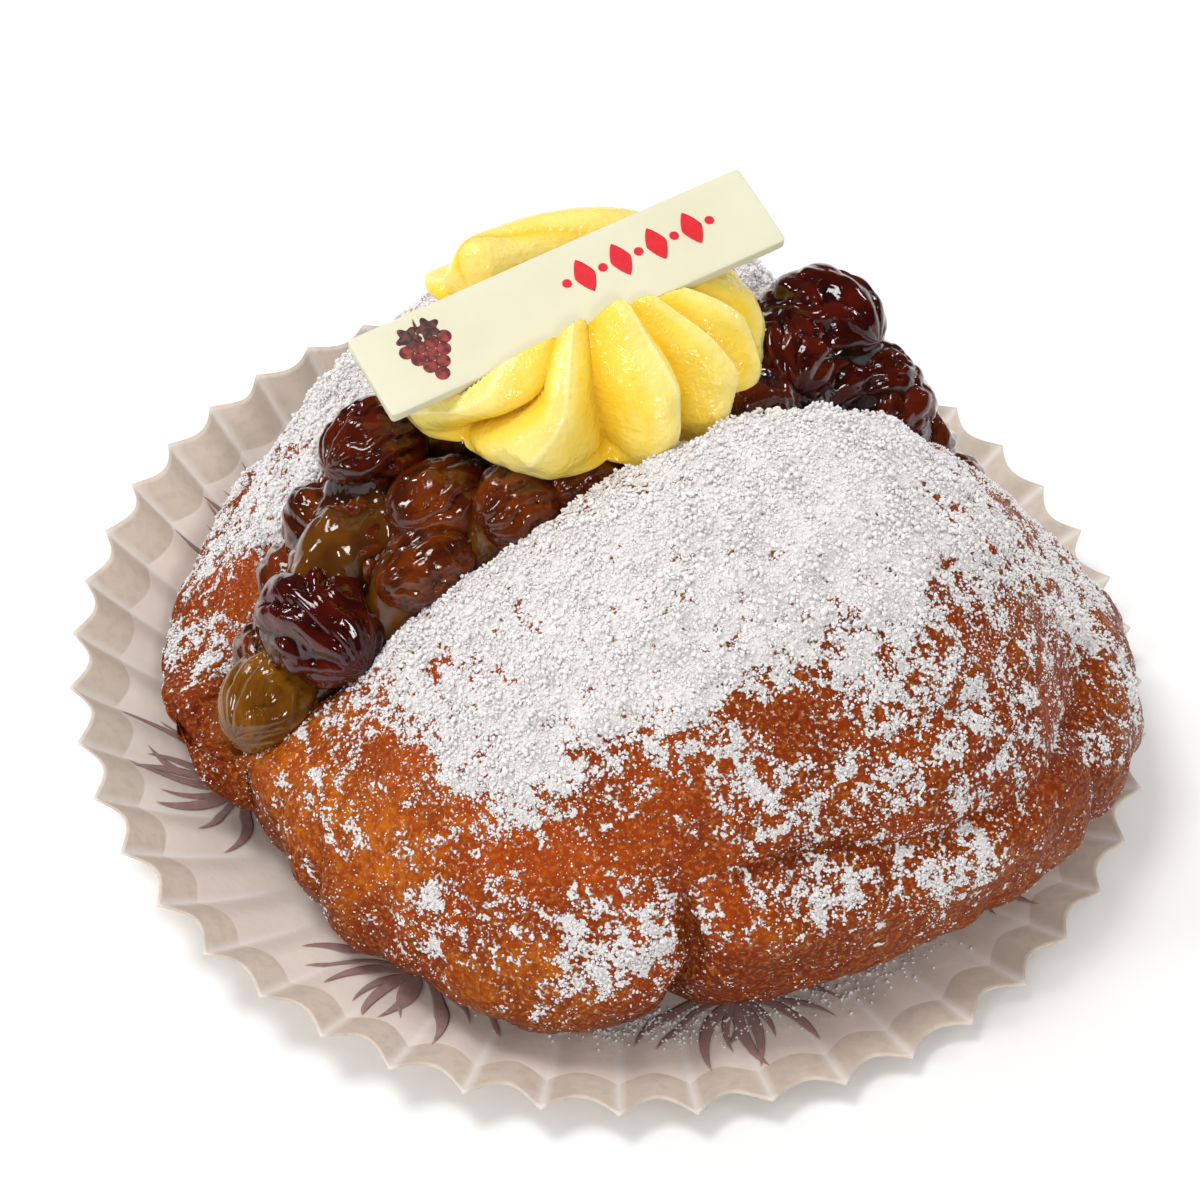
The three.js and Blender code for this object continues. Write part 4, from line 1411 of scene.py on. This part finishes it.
def profile(points, v):
    """A smooth way along a list of points: straight steps, averaged over a span of v.

    The span shrinks to nothing at both ends, so that these stay where they are.
    """
    span = np.linspace(-0.5, 0.5, 9) / (len(points) - 1)
    share_of_span = np.minimum(1, 12 * np.minimum(v, 1 - v))
    place = np.clip(v[..., None] + span * share_of_span[..., None], 0, 1)
    ticks = np.linspace(0, 1, len(points))
    return [np.interp(place, ticks, column).mean(axis=-1) for column in np.array(points, float).T]


def lobe_shape(t, ridge_at):
    """Across a lobe, with t from one valley to the next.

    The lobe is sin(pi t^p)^0.5, with p putting the ridge in its place. The fine crest
    is a bell a little past the ridge.
    """
    bend = math.log(0.5) / np.log(ridge_at)
    return power(np.sin(np.pi * t**bend), 0.5), hill(t, ridge_at + 0.08, 0.03)


def across_lobes(angle, up):
    """Where an angle in degrees falls between the valleys at this height.

    It is the lobe's number plus t, counted as the sum of how far the angle has come
    through each lobe.
    """
    sweep = smooth(up, 0.1, 0.75)[..., None]
    foot, top, _ = np.array([*VALLEYS, VALLEYS[0]], float).T
    foot[-1], top[-1] = foot[0] + 360, top[0] + 360
    edges = mix(foot, top, sweep)
    angle = edges[..., 0] + (angle - edges[..., 0]) % 360
    through = (angle[..., None] - edges[..., :-1]) / np.diff(edges, axis=-1)
    return np.clip(through, 0, 1).sum(axis=-1)


def under_plaque(points):
    """The points, with those within the plaque's outline pushed down to just below it."""
    local = off_plaque(points)
    along, across, up = np.moveaxis(local, -1, 0)
    below = (np.abs(along) < PLAQUE["length"] / 2) & (np.abs(across) < PLAQUE["width"] / 2 + 0.15)
    lowest = -PLAQUE["thickness"] / 2 - 0.1
    pressed = np.where(below, np.minimum(up, lowest), up)
    return on_plaque(np.stack([along, across, pressed], axis=-1))


print("the rosette has", len(VALLEYS), "lobes")


# %% The rosette's surface
def rosette_grid(rows, columns):
    """The turned body: the radius times the profile, less at the valleys.

    Each lobe's foot droops, and the front lobes swell where the plaque squeezed them.
    The back lies lower, as the rope is to sit on it.
    """
    v, u = unit_grid(rows, columns)
    out, up = profile(ROSETTE, v + 0 * u)
    angle = 360 * u + 0 * v
    number = across_lobes(angle, up)
    ridges = np.array([ridge for _, _, ridge in VALLEYS])
    lobe, crest = lobe_shape(number % 1.0, ridges[number.astype(int) % len(ridges)])
    radians = np.radians(angle)
    ring = np.stack([3 * np.cos(radians), 3 * np.sin(radians), 2 * up], axis=-1)
    swell = 1 + 0.05 * lumps(ring, 1.0, 120) + 0.02 * lumps(ring, 0.3, 121)
    deep = LOBE_DEPTH * smooth(up, -0.05, 0.15) * (1 - 0.5 * smooth(out, 0.5, 0.0))
    lower = 0.3 * smooth(np.sin(radians), -0.05, 0.6) * smooth(up, 0.1, 0.9)
    stretched = 1 + 0.09 * hill(angle, 178, 26) * (1 - smooth(up, 0.1, 0.7))
    radius = CREAM_RADIUS * out * (1 - deep * (1 - lobe) + 0.008 * crest) * swell * stretched
    droop = 2.0 * (lobe - 0.6) * hill(up, 0.05, 0.2) * smooth(out, 0.3, 0.9)
    squeezed = 2.4 * lobe * hill(out, 0.42, 0.16) * hill(angle, 272, 36) * smooth(up, 0.5, 0.8)
    x = CREAM_X + radius * np.cos(radians)
    y = CREAM_Y + radius * np.sin(radians)
    z = CREAM_BASE + CREAM_HEIGHT * up * (1 - lower) - droop + squeezed
    z = z + 0.15 * crest * smooth(up, 0.5, 0.9)
    # deep sets painted shade in the valleys between lobes, and crest a painted highlight on the ridges.
    values = {"deep": 1 - smooth(lobe, 0.1, 0.75), "crest": smooth(lobe, 0.75, 1.0) + crest}
    return under_plaque(np.stack([x, y, z], axis=-1)), values


rosette, rosette_values = rosette_grid(220, 400)
print("rosette spans", np.ptp(rosette.reshape(-1, 3), axis=0).round(1), "mm")

# %% The rope behind
# Points along the rope's middle, and its thickness there.
ROPE = [
    (14, 11, 52.5, 3.6), (14.0, 16.5, 53.5, 4.6), (10, 20.5, 54.0, 5.0), (4.5, 22.6, 54.2, 5.0),
    (-1.5, 22.6, 54.4, 4.9), (-6.5, 21.0, 55.0, 4.7), (-10.0, 18.0, 55.2, 4.2),
]
ROPE_TIP = np.array([0.2, 1.4, 1.6])


def rope_grid(rows, columns):
    """Rings round a smooth way through the rope's points, lobed and slowly turning.

    It ends blunt, and the upper lip of that end is drawn out to a point.
    """
    v, u = unit_grid(rows, columns)
    x, y, z, thick = profile(ROPE, v[:, 0])
    middle = np.stack([x, y, z], axis=-1)
    ahead = np.gradient(middle, axis=0)
    ahead /= np.linalg.norm(ahead, axis=-1, keepdims=True)
    side = np.cross(ahead, [0, 0, 1.0])
    side /= np.linalg.norm(side, axis=-1, keepdims=True)
    rise = np.cross(side, ahead)
    phi = 2 * np.pi * u
    lobe, _ = lobe_shape((2 * (phi + 2.2 * v) / np.pi) % 1.0, 0.58)
    ribbed = smooth(v, 0.35, 0.8)
    closing = roundness(2 * v - 1, 9)
    radius = thick[:, None] * closing * (1 - 0.2 * (1 - lobe) * ribbed)
    ring = np.cos(phi)[..., None] * side[:, None] + np.sin(phi)[..., None] * rise[:, None]
    grid = middle[:, None] + radius[..., None] * ring
    lip = smooth(v, 0.72, 0.98) * smooth(np.sin(phi), 0.5, 1.0) * closing
    grid = grid + lip[..., None] * ROPE_TIP
    # deep sets painted shade between the rope's lobes, and crest a painted highlight on them.
    return under_plaque(grid), {"deep": 0.8 * (1 - smooth(lobe, 0.1, 0.75)) * ribbed, "crest": lobe}


rope, rope_values = rope_grid(120, 96)
cream = skin("cream_swirl", [rosette, rope], [rosette_values, rope_values])
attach(cream, "root")
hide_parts("custard_cream")
report(cream)

# %% Custard
custard, n, shader = new_finish("custard", Subsurface_Weight=0.4, Specular_IOR_Level=0.4)
n.put(shader["Subsurface Radius"], (0.003, 0.0022, 0.0008))
cloud = n.group(mottle_tree, Size_mm=6.0, Detail=3.0, Cover=0.5, Soft=0.2)
grit = n.group(mottle_tree, Size_mm=0.9, Detail=2.0, Cover=0.5, Soft=0.2)
body = n.blend(cloud.outputs["Mask"], hue("f8de68"), hue("f5d03c"))
# Painted highlight: paler on the crests.
body = n.blend(n.math("MULTIPLY", n.value("crest"), 0.6), body, hue("f8e898"))
# Painted shade: deeper yellow in the valleys.
n.put(shader["Base Color"], n.blend(n.math("MULTIPLY", n.value("deep"), 0.75), body, hue("f6c40c")))
moist = n.group(shine_tree, Size_mm=5.0, Dull=0.24, Glossy=0.08)
n.put(shader["Roughness"], moist.outputs["Roughness"])
soft = bumped(n, cloud.outputs["Height"], 0.5, 0.4)
n.put(shader["Normal"], bumped(n, grit.outputs["Height"], 0.3, 0.8, soft))
cream.data.materials.append(custard)

# %% [markdown]
# ## The plaque
#
# The plaque is a strip cut from a sheet of white chocolate. A cube with a bevel
# would be the quick way, but poured chocolate has soft top edges, a faint wave
# and straight cut ends, so its section is a rounded rectangle carried along the
# length, closed at both ends.
# %% The plaque's shape
def top_wave(x, y):
    """The faint wave of the poured face, in millimetres."""
    return 0.05 * np.sin(x / 7.0 + 0.5) + 0.04 * np.sin(y / 2.6 + x / 11.0)


# How far each of the first rows lies from the plaque's end, and how much it shrinks.
ROUNDED_END = [(0, 1), (0, 0.06), (0.1, 0.03), (0.3, 0.01), (0.55, 0.004), (0.8, 0)]


def squared(wave):
    """A sine or cosine to the 1/7, with its sign kept, which makes a circle nearly a square."""
    return np.sign(wave) * np.abs(wave) ** (1 / 7)


def plaque_grid(rows, columns):
    """A superellipse section of exponent 14 along the length, rounded over the last millimetre."""
    _, u = unit_grid(rows, columns)
    half, plain = PLAQUE["length"] / 2, rows // 2 - len(ROUNDED_END)
    first_rows, insets = np.array(ROUNDED_END).T
    ends = np.concatenate([first_rows, np.linspace(1.2, half, plain)])
    inset = np.concatenate([insets, np.zeros(plain)])
    x = np.concatenate([ends - half, (half - ends)[::-1]])[:, None] + 0 * u
    shrink = 1 - np.concatenate([inset, inset[::-1]])[:, None]
    phi = 2 * np.pi * u
    y = squared(np.cos(phi)) * PLAQUE["width"] / 2 * shrink
    z = squared(np.sin(phi)) * PLAQUE["thickness"] / 2 * shrink
    z = z + np.where(z > 0, top_wave(x, y), 0)
    return on_plaque(np.stack([x, y, z], axis=-1))


plaque = skin("plaque", plaque_grid(120, 96))
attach(plaque, "root")
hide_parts("chocolate_plaque")
report(plaque)

# %% White chocolate
white, n, shader = new_finish("white_chocolate", Subsurface_Weight=0.25, Specular_IOR_Level=0.4)
n.put(shader["Subsurface Radius"], (0.002, 0.002, 0.0015))
cloud = n.group(mottle_tree, Size_mm=9.0, Detail=3.0, Cover=0.5, Soft=0.25)
n.put(shader["Base Color"], n.blend(cloud.outputs["Mask"], hue("dedac1"), hue("dad6b9")))
satin = n.group(shine_tree, Size_mm=6.0, Dull=0.6, Glossy=0.5)
n.put(shader["Roughness"], satin.outputs["Roughness"])
n.put(shader["Normal"], bumped(n, cloud.outputs["Height"], 0.15, 0.4))
plaque.data.materials.append(white)

# %% [markdown]
# ## What is printed on the plaque
#
# A row of red lozenges and dots stands where a word might be, and a small bunch
# of dark grapes at the other end. Both are food ink, far thinner than paper. They
# could be masks in the chocolate's shader, but outlines stay crisp at any size
# when each is its own patch a few hundredths of a millimetre high.
# %% Patches of ink
INK_LIFT, INK_THICKNESS = 0.03, 0.03


def patch(x, y, outline, turn=0.0, columns=40):
    """A thin closed patch on the plaque's face.

    Its rows go out from its middle to the outline underneath, and back in on top. The
    outline gives the radius at each angle, and turn is in degrees.
    """
    angle = np.arange(columns) / columns * 2 * np.pi
    radius = outline(angle) * np.ones(columns)
    reach = np.array([0, 0.5, 0.9, 1.0, 1.0, 0.9, 0.5, 0.0])[:, None] * radius
    high = np.array([0, 0, 0, 0, 1, 1, 1, 1])[:, None]
    swung = angle[None, :] + math.radians(turn)
    px, py = x + reach * np.cos(swung), y + reach * np.sin(swung)
    z = PLAQUE["thickness"] / 2 + top_wave(px, py) + INK_LIFT + INK_THICKNESS * high
    return on_plaque(np.stack([px, py, z], axis=-1))


def disc(radius):
    """The outline of a disc."""
    return lambda angle: radius


def lozenge(half_length, half_width, p=1.25):
    """The outline of a lozenge with soft corners: |x / a|^p + |y / b|^p = 1 with p over 1."""

    def outline(angle):
        across, up = np.cos(angle) / half_length, np.sin(angle) / half_width
        return (np.abs(across) ** p + np.abs(up) ** p) ** (-1 / p)

    return outline


def pointed(angle):
    """The outline of a small leaf with five soft points."""
    return 1.25 + 0.3 * np.cos(5 * angle)


LOZENGES, STEP, LINE_X, LINE_Y = 4, 4.6, 0.1, 0.7
BUNCH_X, GRAPE, GRAPE_STEP, GRAPE_DROP = -17.6, 0.84, 1.55, 1.38


def garland():
    """Upright lozenges, with a dot between each two and one at either end."""
    made = [patch(LINE_X + STEP * (k + 0.5), LINE_Y, lozenge(1.25, 2.3)) for k in range(LOZENGES)]
    return made + [patch(LINE_X + STEP * k, LINE_Y, disc(0.55)) for k in range(LOZENGES + 1)]


def grapes():
    """Rows of four, three, two and one grape, each a round patch."""
    made = []
    for row, count in enumerate((4, 3, 2, 1)):
        for k in range(count):
            x = BUNCH_X + (k - (count - 1) / 2) * GRAPE_STEP
            made.append(patch(x, 1.0 - GRAPE_DROP * row, disc(GRAPE)))
    return made


def grape_leaves():
    """Two leaves over the grapes, and a stalk."""
    stalk = patch(BUNCH_X, 3.3, lozenge(1.3, 0.2), 80)
    return [patch(-16.4, 2.7, pointed, 20), patch(-18.9, 2.6, pointed, -30), stalk]


print(len(garland()), "patches in the garland and", len(grapes()), "grapes")


# %% Build the print
def print_piece(name, patches, finish):
    """Patches of ink joined as one piece with one finish."""
    piece = skin(name, patches)
    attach(piece, "root")
    piece.data.materials.append(finish)
    report(piece)


def ink_finish(name, first, second, size):
    """Food ink that varies a little between two colours."""
    finish, n, shader = new_finish(name, Roughness=0.5)
    spots = n.group(mottle_tree, Size_mm=size, Detail=5.0, Cover=0.5, Soft=0.15)
    n.put(shader["Base Color"], n.blend(spots.outputs["Mask"], hue(first), hue(second)))
    return finish


print_piece("print_garland", garland(), ink_finish("red_ink", "e0081f", "d20a20", 0.6))
print_piece("print_grapes", grapes(), ink_finish("wine_ink", "5e1216", "9c3a34", 0.7))
print_piece("print_leaves", grape_leaves(), ink_finish("brown_ink", "3a1a18", "6b3a30", 0.5))
